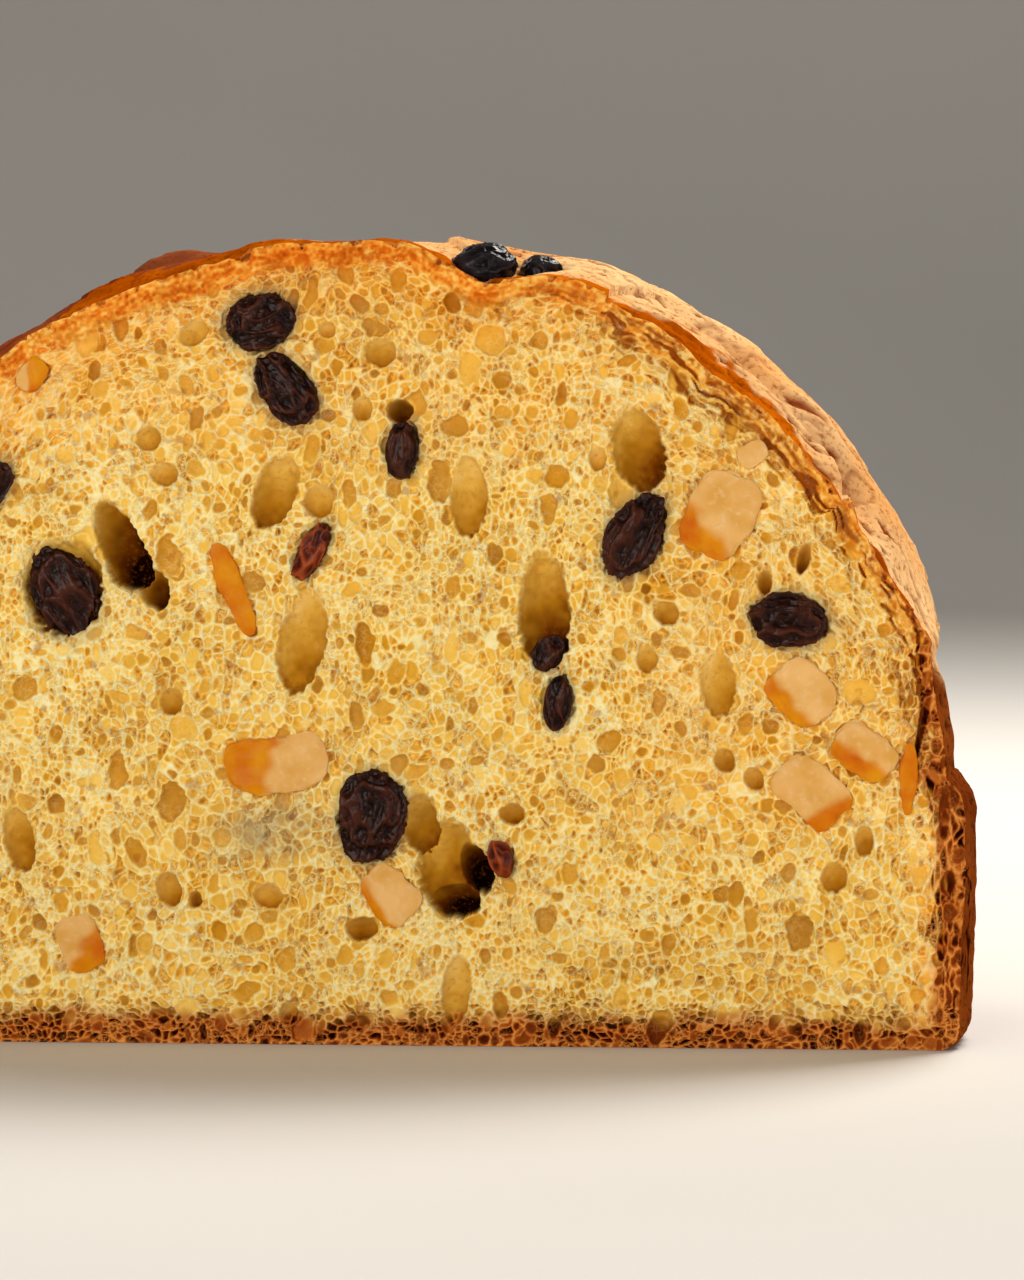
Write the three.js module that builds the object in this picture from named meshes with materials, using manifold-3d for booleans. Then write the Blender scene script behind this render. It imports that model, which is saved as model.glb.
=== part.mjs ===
import * as THREE from 'three';
import { mergeVertices } from 'three/addons/utils/BufferGeometryUtils.js';
import Module from 'manifold-3d';

// A panettone baked in a low round mould and cut upright, a little in front of its middle.
// Millimetres, +Z up. The cut face looks along -Y, the base rests on Z = 0.

// Sizes of the loaf
const wallRadius = 98;          // side wall, where the mould held the dough
const baseRadius = 94.5;        // flat underside
const cornerRadius = 4;         // round edge between underside and wall
const wallTaper = 0.8;          // the wall is narrower by this at its foot and at its top edge
const edgeRadius = 3;           // round top edge of the wall
const wallHeight = 42;          // height of the moulded wall
const bandRadius = 93.8;        // neck of dough just above the wall
const creaseRadius = 91.6;      // pinch under the dome
const creaseHeight = 63;
const domeRadius = 95.5;        // half width of the dome's ellipse
const domeFoot = 45;            // height of the ellipse's centre
const domeRise = 88;            // from there to the top
const domeLean = [-5, 2];       // how far the top leans from the axis, along X and Y
const cutSetback = 16;          // from the loaf's axis forward to the cut

// Places that follow from the sizes
const cutY = -(cutSetback + wallRadius) / 2;
const axisY = cutY + cutSetback;

// How finely the outside is divided
const turnSteps = 66;
const domeSteps = 15;
const cornerSteps = 3;

// Gap left round each fruit that sits in the crumb
const fruitGap = 0.45;

// Fruit that the cut went through is flatter in front, by this share of its half depth
const frontFlat = 0.15;

// Fruit and bubbles longer than this have finer faces, and bubbles under the second length coarser
const fineLength = 10;
const coarseLength = 6;

// Slow waves of the dome: height and wavelength in mm, direction in degrees, phase
const domeWaves = [
  [0.9, 74, 20, 0.4],
  [0.7, 51, 105, 2.1],
  [0.5, 33, 60, 4.0],
  [0.35, 23, 150, 1.2],
  [0.25, 16, 85, 5.3],
];

// Slow waves of the moulded wall: depth in mm, waves around, phase
const wallWaves = [
  [0.35, 4, 1.1],
  [0.3, 9, 0.3],
  [0.25, 17, 2.6],
];

// Tears, folds and knobs of the crust, each a long soft ridge or furrow on the dome: angle and
// height of its middle, length and width in mm, slant in degrees, and how far it rises in mm
const crustMarks = [
  [20, 107, 60, 84, 0, 6.2], // crust standing up behind the right rim
  [-16, 109, 26, 60, 0, -2.8], // right rim drawn in at the cut
  [-5, 106, 46, 4.5, 84, -2.6], // tear behind the right rim
  [-9, 96, 9, 5, 70, 1.6], // fold on the right shoulder
  [-8, 89, 15, 9, 60, -2.4], // dent below the fold
  [-90, 131.5, 34, 26, 0, 2.2], // crown at the cut
  [95, 131.5, 64, 46, 0, -3.4], // sunken middle of the top
  [170, 129, 10, 20, 0, 3], // knob on the left of the top
  [172, 121, 26, 18, 0, -3], // hollow left of the knob
  [163, 111, 50, 26, 0, 3.6], // crust standing up behind the left rim
  [-24, 128.6, 22, 16, 0, -3.2], // seat of the top raisins
  [95, 120, 70, 5, 12, -2.4], // long crack over the top
  [95, 115, 60, 6, 14, 1.5], // ridge beside the crack
  [76, 96, 46, 5, 82, -2.2], // crack down the back
  [130, 92, 70, 44, 0, 2], // swelling on the left of the back
  [-5, 57, 22, 6, 85, 1.6], // lip over the right wall
  [186, 58, 26, 7, 85, 1.4], // lip over the left wall
];

// Large bubbles opened by the cut: middle x and z, width, height, depth behind the cut, slant in degrees
const bubbles = [
  [-16.6, 91.5, 7.5, 14, 7, -22],
  [-9.4, 90, 5.4, 6.2, 5, -10],
  [-42.5, 82.5, 7, 17, 15, 24],
  [-36.8, 75.2, 4.6, 7.4, 12, 20],
  [43, 98.5, 9.5, 15.5, 9, 16],
  [15.2, 91, 6.6, 14.4, 5, 0],
  [27.6, 72, 9.2, 21, 10, 2],
  [-52, 76, 14.6, 17.6, 9, 0],
  [3.8, 104.6, 4.6, 4, 7, 0],
  [-12.2, 67, 8.6, 18.5, 6, -12],
  [56.2, 60, 6.4, 11.6, 5, 2],
  [11.6, 30.2, 10.2, 17, 9, 0],
  [7.2, 37, 6.6, 11, 8, 8],
  [0.8, 114.2, 5.8, 5.4, 5, 0],
  [-30, 117.4, 5.6, 4.4, 4, 25],
  [-8, 117.8, 3.2, 3, 4, 0],
  [-2.2, 105, 3.4, 4.6, 4, 0],
  [-37.6, 100, 4.6, 4.8, 4, 0],
  [-35, 94.2, 5, 4.2, 4, 0],
  [-34, 56.6, 4.2, 5.4, 5, 0],
  [-59.6, 34, 5.6, 12, 6, 8],
  [-34.6, 25.6, 4.6, 6.6, 6, 20],
  [-30.2, 23.8, 2.4, 3.2, 7, 0],
  [-18, 24.6, 5.2, 4.6, 5, -20],
  [-2.6, 19.2, 5.8, 4.6, 7, 0],
  [13.2, 9.6, 5.2, 13, 4, -6],
  [44.6, 64, 3.8, 4.6, 4, 0],
  [47.8, 71.6, 4.4, 4.4, 5, 0],
  [36.4, 96.8, 3.2, 4.4, 4, 0],
  [57.2, 47.4, 3.8, 4.6, 5, 20],
  [62, 44.4, 3.4, 4.4, 5, 25],
  [75.2, 28.4, 4.6, 5.6, 5, 0],
  [80.2, 34.4, 3.4, 5.6, 5, 0],
  [22.4, 38.4, 4.6, 4, 6, 0],
  [63.8, 76.6, 2.6, 4.4, 6, 0],
  [70.2, 80.6, 2.4, 6, 8, -14],
  [-35.8, 4.6, 4.2, 3, 4, 0],
  [-14.6, 5.2, 3.4, 4.4, 4, 0],
  [-3.2, 3.6, 4.4, 3, 4, 0],
  [-66, 60, 5, 9, 5, -14],
  [-74, 84, 7, 5, 5, 30],
  [-78, 44, 5, 7, 5, 6],
  [-84, 66, 3.6, 8, 5, 12],
];

// Raisins in the cut: middle x and z, long and short way across, depth, slant, and how far the
// front stands behind the cut
const raisins = [
  [-19.2, 119.0, 11.2, 9.6, 8, 10, 0.1],
  [-14.8, 108.2, 13.4, 8.4, 8, -52, 0.1],
  [4.5, 98.6, 9.4, 5.4, 6, 86, 0.1],
  [-51.6, 74.3, 14.4, 11.0, 9, -66, 2.6],
  [-10.4, 81.6, 10.2, 4.6, 4, 62, 0.1],
  [42.8, 84.2, 14.8, 8.8, 9, 62, 0.1],
  [28.4, 64.6, 6.0, 5.0, 6, 60, 2.2],
  [30.1, 56.8, 8.8, 4.2, 6, 84, 0.1],
  [68.3, 70.4, 12.6, 8.8, 8, -8, 0.1],
  [-0.6, 37.6, 14.4, 11.4, 10, 74, 0.1],
  [20.7, 31.0, 5.8, 3.8, 4, -70, 0.1],
  [-65, 92, 10.5, 7.0, 7, 40, 0.1],
  [-78, 30.0, 11.5, 8.5, 8, -20, 0.1],
];

// Raisins baked onto the top: middle x, y behind the cut, z, and length, depth, height
const topRaisins = [
  [18.4, 4.6, 128.4, 10.8, 8.0, 7.6],
  [27.0, 9.4, 127.2, 7.0, 7.0, 6.0],
  [32.2, 13.6, 126.4, 4.0, 4.0, 3.2],
];

// Candied peel in the cut: middle x and z, long and short way across, depth, slant in degrees,
// squareness (2 is an oval, larger is blockier) and how far the front stands behind the cut
const peels = [
  [56.4, 87.6, 14.2, 10.6, 8, 66, 4.0, 0.1],
  [61.8, 97.6, 4.6, 3.8, 5, 30, 3.0, 0.1],
  [69.8, 58.3, 11.4, 9.2, 8, -46, 3.0, 0.1],
  [80.2, 48.6, 10.8, 7.4, 8, -38, 4.0, 0.1],
  [71.8, 42.2, 12.4, 8.6, 8, -44, 4.0, 0.1],
  [-16.8, 46.4, 16.6, 9.6, 8, 6, 3.4, 0.1],
  [2.4, 25.0, 9.8, 7.4, 7, -44, 3.4, 0.1],
  [-49.2, 16.4, 9.2, 6.6, 7, -70, 3.4, 0.1],
  [-23.6, 75.4, 15.4, 3.4, 5, -68, 3.0, 0.1],
  [-57.0, 110.2, 5.8, 4.4, 4, 50, 3.0, 0.1],
  [87.4, 44.6, 11.4, 1.8, 5, 88, 3.0, 0.1],
  [-70, 56.0, 10.4, 8.6, 8, 24, 3.4, 0.1],
];

const rad = THREE.MathUtils.degToRad;

// A repeatable stream of numbers from 0 to 1
function makeRandom(seed) {
  let state = seed;
  return () => {
    state = (state * 1664525 + 1013904223) % 4294967296;
    return state / 4294967296;
  };
}

// Outline of the loaf from the middle of its underside up to the top, as [radius, height] pairs
function loafProfile() {
  const points = [[baseRadius / 2, 0], [baseRadius, 0]];
  for (let i = 1; i <= cornerSteps; i += 1) {
    const a = (i / cornerSteps) * (Math.PI / 2);
    const reach = wallRadius - wallTaper - baseRadius;
    points.push([baseRadius + reach * Math.sin(a), cornerRadius * (1 - Math.cos(a))]);
  }
  points.push([wallRadius - wallTaper / 4, wallHeight * 0.36]);
  points.push([wallRadius, wallHeight * 0.67]);
  points.push([wallRadius, wallHeight - edgeRadius]);
  points.push([wallRadius - wallTaper, wallHeight]);
  points.push([bandRadius + wallTaper, wallHeight + edgeRadius]);
  points.push([bandRadius, wallHeight + 3 * edgeRadius]);
  points.push([(bandRadius + creaseRadius) / 2, (wallHeight + creaseHeight) / 2 + 4]);
  points.push([creaseRadius, creaseHeight]);
  const start = Math.asin((creaseHeight + 5 - domeFoot) / domeRise);
  for (let i = 0; i < domeSteps; i += 1) {
    const a = start + (i / domeSteps) * (Math.PI / 2 - start);
    points.push([domeRadius * Math.cos(a), domeFoot + domeRise * Math.sin(a)]);
  }
  return points;
}

// Point of the bare loaf, without its relief
function barePoint(angle, radius, height) {
  const lean = Math.max(0, (height - creaseHeight) / (domeFoot + domeRise - creaseHeight));
  return new THREE.Vector3(
    radius * Math.cos(angle) + domeLean[0] * lean,
    radius * Math.sin(angle) + domeLean[1] * lean + axisY,
    height,
  );
}

// A crust mark's middle on the dome, with its directions along and across
function placeMark([degrees, height, length, width, turn, rise]) {
  const angle = rad(degrees);
  const lift = (height - domeFoot) / domeRise;
  const slope = Math.sqrt(1 - lift * lift);
  const around = new THREE.Vector3(-Math.sin(angle), Math.cos(angle), 0);
  const up = new THREE.Vector3(-Math.cos(angle) * lift, -Math.sin(angle) * lift, slope);
  const c = Math.cos(rad(turn));
  const s = Math.sin(rad(turn));
  return {
    middle: barePoint(angle, domeRadius * slope, height),
    along: around.clone().multiplyScalar(c).addScaledVector(up, s),
    across: around.clone().multiplyScalar(-s).addScaledVector(up, c),
    length,
    width,
    rise,
  };
}

const placedMarks = crustMarks.map(placeMark);

// How far a crust mark lifts a point: a soft bell, flat-topped along its length
function markRise(mark, point) {
  const offset = point.clone().sub(mark.middle);
  if (offset.length() > mark.length) return 0;
  const along = offset.dot(mark.along) / (mark.length / 2);
  const across = offset.dot(mark.across) / (mark.width / 2);
  return mark.rise * Math.exp(-(along ** 4) - across * across);
}

// Point of the crust at an angle round the axis, from a point of the outline
function crustPoint(angle, radius, height) {
  const point = barePoint(angle, radius, height);
  let swell = 0;
  for (const [size, wavelength, direction, phase] of domeWaves) {
    const c = Math.cos(rad(direction));
    const s = Math.sin(rad(direction));
    const run = point.x * c + point.y * s + point.z * 0.6;
    swell += size * Math.sin((run / wavelength) * Math.PI * 2 + phase);
  }
  swell *= THREE.MathUtils.smoothstep(height, wallHeight, wallHeight + 12);
  for (const mark of placedMarks) swell += markRise(mark, point);
  let dent = 0;
  for (const [size, around, phase] of wallWaves) dent += size * Math.sin(around * angle + phase);
  if (height > wallHeight + edgeRadius) dent = 0;
  const slope = Math.min(1, radius / domeRadius);
  const out = dent + swell * slope;
  point.x += out * Math.cos(angle);
  point.y += out * Math.sin(angle);
  point.z += swell * Math.sqrt(1 - slope * slope);
  return point;
}

// Closed skin of rings joined by quads, with a point at each end
function closedRings(rings, first, last) {
  const count = rings[0].length;
  const positions = [];
  const push = (p) => positions.push(p.x, p.y, p.z);
  rings.forEach((ring) => ring.forEach(push));
  push(first);
  push(last);
  const bottom = rings.length * count;
  const top = bottom + 1;
  const index = [];
  for (let i = 0; i < count; i += 1) {
    const next = (i + 1) % count;
    index.push(bottom, next, i);
    for (let j = 0; j < rings.length - 1; j += 1) {
      const a = j * count;
      const b = a + count;
      index.push(a + i, a + next, b + next, a + i, b + next, b + i);
    }
    const end = (rings.length - 1) * count;
    index.push(end + i, end + next, top);
  }
  const geometry = new THREE.BufferGeometry();
  geometry.setAttribute('position', new THREE.Float32BufferAttribute(positions, 3));
  geometry.setIndex(index);
  return geometry;
}

// The whole uncut loaf
function wholeLoaf() {
  const rings = loafProfile().map(([radius, height]) => {
    const ring = [];
    for (let i = 0; i < turnSteps; i += 1) {
      ring.push(crustPoint((i / turnSteps) * Math.PI * 2, radius, height));
    }
    return ring;
  });
  const first = new THREE.Vector3(0, axisY, 0);
  const last = new THREE.Vector3(domeLean[0], domeLean[1] + axisY, domeFoot + domeRise);
  return closedRings(rings, first, last);
}

// A geometry with its points merged and nothing but their places
function bare(geometry) {
  geometry.deleteAttribute('normal');
  geometry.deleteAttribute('uv');
  return mergeVertices(geometry);
}

// Unit ball, the start of every bubble and raisin, divided more finely where it is longer
function unitBall(length) {
  if (length < coarseLength) return bare(new THREE.OctahedronGeometry(1, 1));
  return bare(new THREE.IcosahedronGeometry(1, length > fineLength ? 2 : 1));
}

// Moves each point of a geometry by a function of its place
function reshape(geometry, change) {
  const position = geometry.attributes.position;
  const point = new THREE.Vector3();
  for (let i = 0; i < position.count; i += 1) {
    point.fromBufferAttribute(position, i);
    change(point);
    position.setXYZ(i, point.x, point.y, point.z);
  }
  return geometry;
}

// Bubble: an uneven ball, its middle behind the cut by a third of its depth
function bubble([x, z, width, height, depth, slant], random) {
  const phase = random() * Math.PI * 2;
  const shape = reshape(unitBall(Math.max(width, height)), (p) => {
    const uneven = 1 + 0.1 * Math.sin(3 * Math.atan2(p.z, p.x) + phase);
    p.set((p.x * width * uneven) / 2, (p.y * depth) / 1.6, (p.z * height * uneven) / 2);
  });
  shape.rotateY(-rad(slant));
  shape.translate(x, cutY + depth * 0.12, z);
  return shape;
}

// Where the knife or the tear passed, a ball's front is a flat disc with a round edge
function flatFront(p) {
  return 1 - Math.hypot(p.x, p.z) ** 6;
}

// Raisin: a ball drawn out to an oval and pinched by a few folds that run its length
function raisinShape(length, width, depth, random, frontShare) {
  const folds = 3 + Math.floor(random() * 3);
  const phase = random() * Math.PI * 2;
  return reshape(unitBall(Math.max(length, coarseLength)), (p) => {
    const round = Math.atan2(p.y, p.z);
    const fold = 1 + 0.09 * Math.sin(folds * round + phase + 2 * p.x);
    const ends = 1 + 0.06 * Math.sin(4 * p.x + phase);
    const y = p.y < 0 ? -frontShare * flatFront(p) : p.y;
    p.set((p.x * length * ends) / 2, (y * depth * fold) / 2, (p.z * width * fold) / 2);
  });
}

// Peel: a block with round edges, |x|^n + |y|^n + |z|^n = 1, a little narrower at one end
function peelShape(length, width, depth, square, random) {
  const taper = 0.1 + random() * 0.14;
  const skew = (random() - 0.5) * 0.3;
  return reshape(bare(new THREE.BoxGeometry(1.8, 1.8, 1.8, 3, 2, 3)), (p) => {
    const reach = (Math.abs(p.x) ** square + Math.abs(p.y) ** square + Math.abs(p.z) ** square)
      ** (-1 / square);
    p.multiplyScalar(reach);
    const narrow = 1 - taper * p.x;
    const y = p.y < 0 ? p.y * frontFlat : p.y;
    p.set(
      ((p.x + skew * p.z) * length) / 2,
      (y * depth) / 2,
      (p.z * width * narrow) / 2,
    );
  });
}

// Fruit in the cut: its shape, slanted in the plane of the cut, front just behind the cut
function fruitInCut(shape, x, z, slant, setback) {
  shape.rotateY(-rad(slant));
  shape.computeBoundingBox();
  shape.translate(x, cutY + setback - shape.boundingBox.min.y, z);
  return shape;
}

// Hollow that a fruit sits in: its shape grown by a gap on every side
function hollowFor(shape) {
  const hollow = shape.clone();
  hollow.computeBoundingBox();
  const middle = hollow.boundingBox.getCenter(new THREE.Vector3());
  const size = hollow.boundingBox.getSize(new THREE.Vector3());
  const factor = (length) => 1 + (2 * fruitGap) / length;
  hollow.translate(-middle.x, -middle.y, -middle.z);
  hollow.scale(factor(size.x), factor(size.y), factor(size.z));
  hollow.translate(middle.x, middle.y, middle.z);
  return hollow;
}

const wasm = await Module();
wasm.setup();

// Solid for cutting and joining, from a closed geometry
function toSolid(geometry) {
  return new wasm.Manifold(new wasm.Mesh({
    numProp: 3,
    vertProperties: new Float32Array(geometry.attributes.position.array),
    triVerts: new Uint32Array(geometry.index.array),
  }));
}

// Geometry with flat faces, from a solid
function toGeometry(solid) {
  const mesh = solid.getMesh();
  const geometry = new THREE.BufferGeometry();
  const positions = [];
  for (let i = 0; i < mesh.vertProperties.length; i += mesh.numProp) {
    positions.push(...mesh.vertProperties.slice(i, i + 3));
  }
  geometry.setAttribute('position', new THREE.Float32BufferAttribute(positions, 3));
  geometry.setIndex(Array.from(mesh.triVerts));
  geometry.computeVertexNormals();
  return geometry;
}

const crumbMaterial = new THREE.MeshStandardMaterial({ color: 0xe8c35a, roughness: 0.85 });
const raisinMaterial = new THREE.MeshStandardMaterial({ color: 0x2a1512, roughness: 0.35 });
const peelMaterial = new THREE.MeshStandardMaterial({ color: 0xe8a04a, roughness: 0.4 });

const panettone = new THREE.Group();

// Adds one named piece
function addPiece(name, geometry, material) {
  const mesh = new THREE.Mesh(geometry, material);
  mesh.name = name;
  panettone.add(mesh);
}

const twoDigits = (n) => String(n).padStart(2, '0');
const hollows = [];

// Fruit first, because each piece presses its own hollow into the loaf
raisins.forEach(([x, z, length, width, depth, slant, setback], i) => {
  const random = makeRandom(40 + i);
  const shape = fruitInCut(raisinShape(length, width, depth, random, frontFlat), x, z, slant, setback);
  addPiece(`raisin_${twoDigits(i + 1)}`, shape, raisinMaterial);
  hollows.push(hollowFor(shape));
});

topRaisins.forEach(([x, behind, z, length, depth, height], i) => {
  const shape = raisinShape(length, height, depth, makeRandom(70 + i), 0.9);
  shape.translate(x, cutY + behind, z);
  addPiece(`raisin_top_${twoDigits(i + 1)}`, shape, raisinMaterial);
  hollows.push(hollowFor(shape));
});

peels.forEach(([x, z, length, width, depth, slant, square, setback], i) => {
  const random = makeRandom(90 + i);
  const shape = fruitInCut(peelShape(length, width, depth, square, random), x, z, slant, setback);
  addPiece(`peel_${twoDigits(i + 1)}`, shape, peelMaterial);
  hollows.push(hollowFor(shape));
});

const bubbleRandom = makeRandom(7);
bubbles.forEach((row) => {
  hollows.push(bubble(row, bubbleRandom));
});

// The loaf: whole, less everything in front of the cut, less the hollows
const front = new THREE.BoxGeometry(3 * wallRadius, 2 * wallRadius, 4 * wallRadius);
front.translate(0, cutY - wallRadius, 0);
const cutAway = toSolid(bare(front));
const hollowed = wasm.Manifold.union(hollows.map((shape) => toSolid(shape)));
const loaf = toSolid(wholeLoaf()).subtract(cutAway).subtract(hollowed);
addPiece('loaf', toGeometry(loaf), crumbMaterial);

export default panettone;
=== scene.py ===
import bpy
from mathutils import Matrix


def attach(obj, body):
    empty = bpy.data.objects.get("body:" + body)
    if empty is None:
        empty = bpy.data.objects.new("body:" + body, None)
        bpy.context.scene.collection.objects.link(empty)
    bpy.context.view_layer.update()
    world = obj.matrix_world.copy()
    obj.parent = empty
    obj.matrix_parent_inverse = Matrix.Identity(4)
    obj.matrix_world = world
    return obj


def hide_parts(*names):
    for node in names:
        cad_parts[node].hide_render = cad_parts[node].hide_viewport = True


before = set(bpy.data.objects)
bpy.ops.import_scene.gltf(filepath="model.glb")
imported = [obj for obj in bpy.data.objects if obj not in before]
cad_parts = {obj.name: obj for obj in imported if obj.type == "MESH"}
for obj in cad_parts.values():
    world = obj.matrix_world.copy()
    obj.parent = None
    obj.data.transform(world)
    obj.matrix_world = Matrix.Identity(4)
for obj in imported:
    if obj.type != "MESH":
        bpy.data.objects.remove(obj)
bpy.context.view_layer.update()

from types import SimpleNamespace

import bpy
import numpy as np
from mathutils import Vector

print("stage: frame loaded")

mm = 0.001      # everything below is worked out in millimetres and stored in metres
farAway = 99.0  # stands for no edge nearby
flush = 0.02    # points this low lie on the base


# sizes shared by every piece of the loaf
loaf = {
    "wallRadius": 98.0,      # where the mould held the dough
    "baseRadius": 94.5,
    "cornerRadius": 4.0,
    "wallTaper": 0.8,
    "edgeRadius": 3.0,
    "wallHeight": 42.0,
    "bandRadius": 93.8,
    "creaseRadius": 91.6,
    "creaseHeight": 63.0,
    "domeRadius": 95.5,
    "domeFoot": 45.0,
    "domeRise": 88.0,
    "domeLean": (-5.0, 2.0),
    "cutSetback": 16.0,
    # slow waves of the dome: height, wavelength, direction, phase
    "domeWaves": ((0.9, 74, 20, 0.4), (0.7, 51, 105, 2.1), (0.5, 33, 60, 4.0),
                  (0.35, 23, 150, 1.2), (0.25, 16, 85, 5.3)),
    # slow waves of the moulded wall: depth, waves around, phase
    "wallWaves": ((0.35, 4, 1.1), (0.3, 9, 0.3), (0.25, 17, 2.6)),
    # tears, folds and knobs: angle, height, length, width, slant, rise
    "marks": (
        (20, 107, 60, 84, 0, 6.2),      # crust standing up behind the right rim
        (-16, 109, 26, 60, 0, -2.8),    # right rim drawn in at the cut
        (-5, 106, 46, 4.5, 84, -2.6),   # tear behind the right rim
        (-9, 96, 9, 5, 70, 1.6),        # fold on the right shoulder
        (-8, 89, 15, 9, 60, -2.4),      # dent below the fold
        (-90, 131.5, 34, 26, 0, 2.2),   # crown at the cut
        (95, 131.5, 64, 46, 0, -3.4),   # sunken middle of the top
        (170, 129, 10, 20, 0, 3),       # knob on the left of the top
        (172, 121, 26, 18, 0, -3),      # hollow left of the knob
        (163, 111, 50, 26, 0, 3.6),     # crust standing up behind the left rim
        (-24, 128.6, 22, 16, 0, -3.2),  # seat of the top raisins
        (95, 120, 70, 5, 12, -2.4),     # long crack over the top
        (95, 115, 60, 6, 14, 1.5),      # ridge beside the crack
        (76, 96, 46, 5, 82, -2.2),      # crack down the back
        (130, 92, 70, 44, 0, 2),        # swelling on the left of the back
        (-5, 57, 22, 6, 85, 1.6),       # lip over the right wall
        (186, 58, 26, 7, 85, 1.4),      # lip over the left wall
    ),
}
domeFoot, domeRadius = loaf["domeFoot"], loaf["domeRadius"]
domeTop = domeFoot + loaf["domeRise"]
wallHeight, creaseHeight = loaf["wallHeight"], loaf["creaseHeight"]
cutY = -(loaf["cutSetback"] + loaf["wallRadius"]) / 2
axisY = cutY + loaf["cutSetback"]


# numbers that vary smoothly from place to place

def hashNumber(a, b, c, seed):
    # a repeatable number from 0 to 1 for each whole-number place: the fraction of a large sine
    value = np.sin(a * 127.1 + b * 311.7 + c * 74.7 + seed * 53.13) * 43758.5453
    return value - np.floor(value)


def softStep(low, high, value):
    # 0 below low, 1 above high, and a smooth S between them: t*t*(3 - 2t)
    t = np.clip((value - low) / (high - low), 0, 1)
    return t * t * (3 - 2 * t)


def fade(low, high, value):
    # the same the other way: 1 below low and 0 above high
    return 1 - softStep(low, high, value)


def cosSin(degrees):
    # cosine and sine of an angle in degrees
    return np.cos(np.radians(degrees)), np.sin(np.radians(degrees))


def flatNoise(u, v, seed):
    # random heights at whole numbers, joined by smooth steps, from -1 to 1
    iu, iv = np.floor(u), np.floor(v)
    fu, fv = u - iu, v - iv
    fu, fv = fu * fu * (3 - 2 * fu), fv * fv * (3 - 2 * fv)
    low = hashNumber(iu, iv, 0, seed) * (1 - fu) + hashNumber(iu + 1, iv, 0, seed) * fu
    high = hashNumber(iu, iv + 1, 0, seed) * (1 - fu) + hashNumber(iu + 1, iv + 1, 0, seed) * fu
    return 2 * (low * (1 - fv) + high * fv) - 1


def evenNoise(x, z, size, seed):
    # flat noise whose hills have one size in both directions
    return flatNoise(x / size, z / size, seed)


def addedNoise(start, u, v, *layers):
    # flat noises added to a start, each with its share, its sizes along u and v, and its seed
    for share, wide, tall, seed in layers:
        start = start + share * flatNoise(u / wide, v / tall, seed)
    return start


def bell(value, middle, width):
    # 1 at the middle and falling off on both sides: exp(-((value - middle) / width)^2)
    return np.exp(-((value - middle) / width) ** 2)


def blend(first, second, share):
    # the first where the share is 0, the second where it is 1
    return first * (1 - share) + second * share


def solidNoise(x, y, z, seed):
    # the same in space: random heights at the corners of cubes, joined by smooth steps
    ix, iy, iz = np.floor(x), np.floor(y), np.floor(z)
    fx, fy, fz = x - ix, y - iy, z - iz
    fx, fy, fz = (f * f * (3 - 2 * f) for f in (fx, fy, fz))
    total = 0
    for dx in (0, 1):
        for dy in (0, 1):
            for dz in (0, 1):
                share = (fx if dx else 1 - fx) * (fy if dy else 1 - fy) * (fz if dz else 1 - fz)
                total = total + share * hashNumber(ix + dx, iy + dy, iz + dz, seed)
    return 2 * total - 1


def turnedNoise(x, y, z, seed):
    # two solid noises on grids turned against each other, so that no squares show
    first = solidNoise(0.8 * x + 0.6 * z, y + 0.3 * x, 0.8 * z - 0.6 * x, seed)
    second = solidNoise(0.6 * y - 0.8 * x, 0.8 * y + 0.6 * x + 0.5 * z, z + 0.37 * y, seed + 0.5)
    return 0.7 * (first + second)


def nearbyMiddles(u, v, jitter, seed):
    # the grid cells round a point, its own and the eight beside it, and a strayed middle in each
    iu, iv = np.floor(u), np.floor(v)
    for du in (-1, 0, 1):
        for dv in (-1, 0, 1):
            cu, cv = iu + du, iv + dv
            yield (cu, cv, cu + 0.5 + jitter * (hashNumber(cu, cv, 1, seed) - 0.5),
                   cv + 0.5 + jitter * (hashNumber(cu, cv, 2, seed) - 0.5))


def foam(u, v, jitter, seed):
    # bubbles pressed together: distance to the nearest and second nearest of a jittered grid of
    # middles, and a number of the nearest one's own
    first = second = np.full(u.shape, 9.0)
    own = np.zeros(u.shape)
    for cu, cv, mu, mv in nearbyMiddles(u, v, jitter, seed):
        away = np.hypot(u - mu, v - mv)
        nearer = away < first
        second = np.where(nearer, first, np.minimum(second, away))
        own = np.where(nearer, hashNumber(cu, cv, 3, seed), own)
        first = np.where(nearer, away, first)
    return first, second, own


def looseBubbles(u, v, keep, small, large, seed):
    # separate round bubbles: a share of the jittered grid's middles has one, with its own radius;
    # gives distance over radius for the nearest rim, that radius, and a number of its own
    ratio = np.full(u.shape, 9.0)
    radius = np.full(u.shape, small)
    own = np.zeros(u.shape)
    for cu, cv, mu, mv in nearbyMiddles(u, v, 0.7, seed):
        kept = hashNumber(cu, cv, 4, seed) < keep
        r = small + (large - small) * hashNumber(cu, cv, 5, seed) ** 2
        squash = 0.75 + 0.5 * hashNumber(cu, cv, 6, seed)
        away = np.where(kept, np.hypot((u - mu) * squash, (v - mv) / squash) / r, 9.0)
        nearer = away < ratio
        radius = np.where(nearer, r, radius)
        own = np.where(nearer, hashNumber(cu, cv, 3, seed), own)
        ratio = np.where(nearer, away, ratio)
    return ratio, radius, own


# putting arrays into Blender

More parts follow.
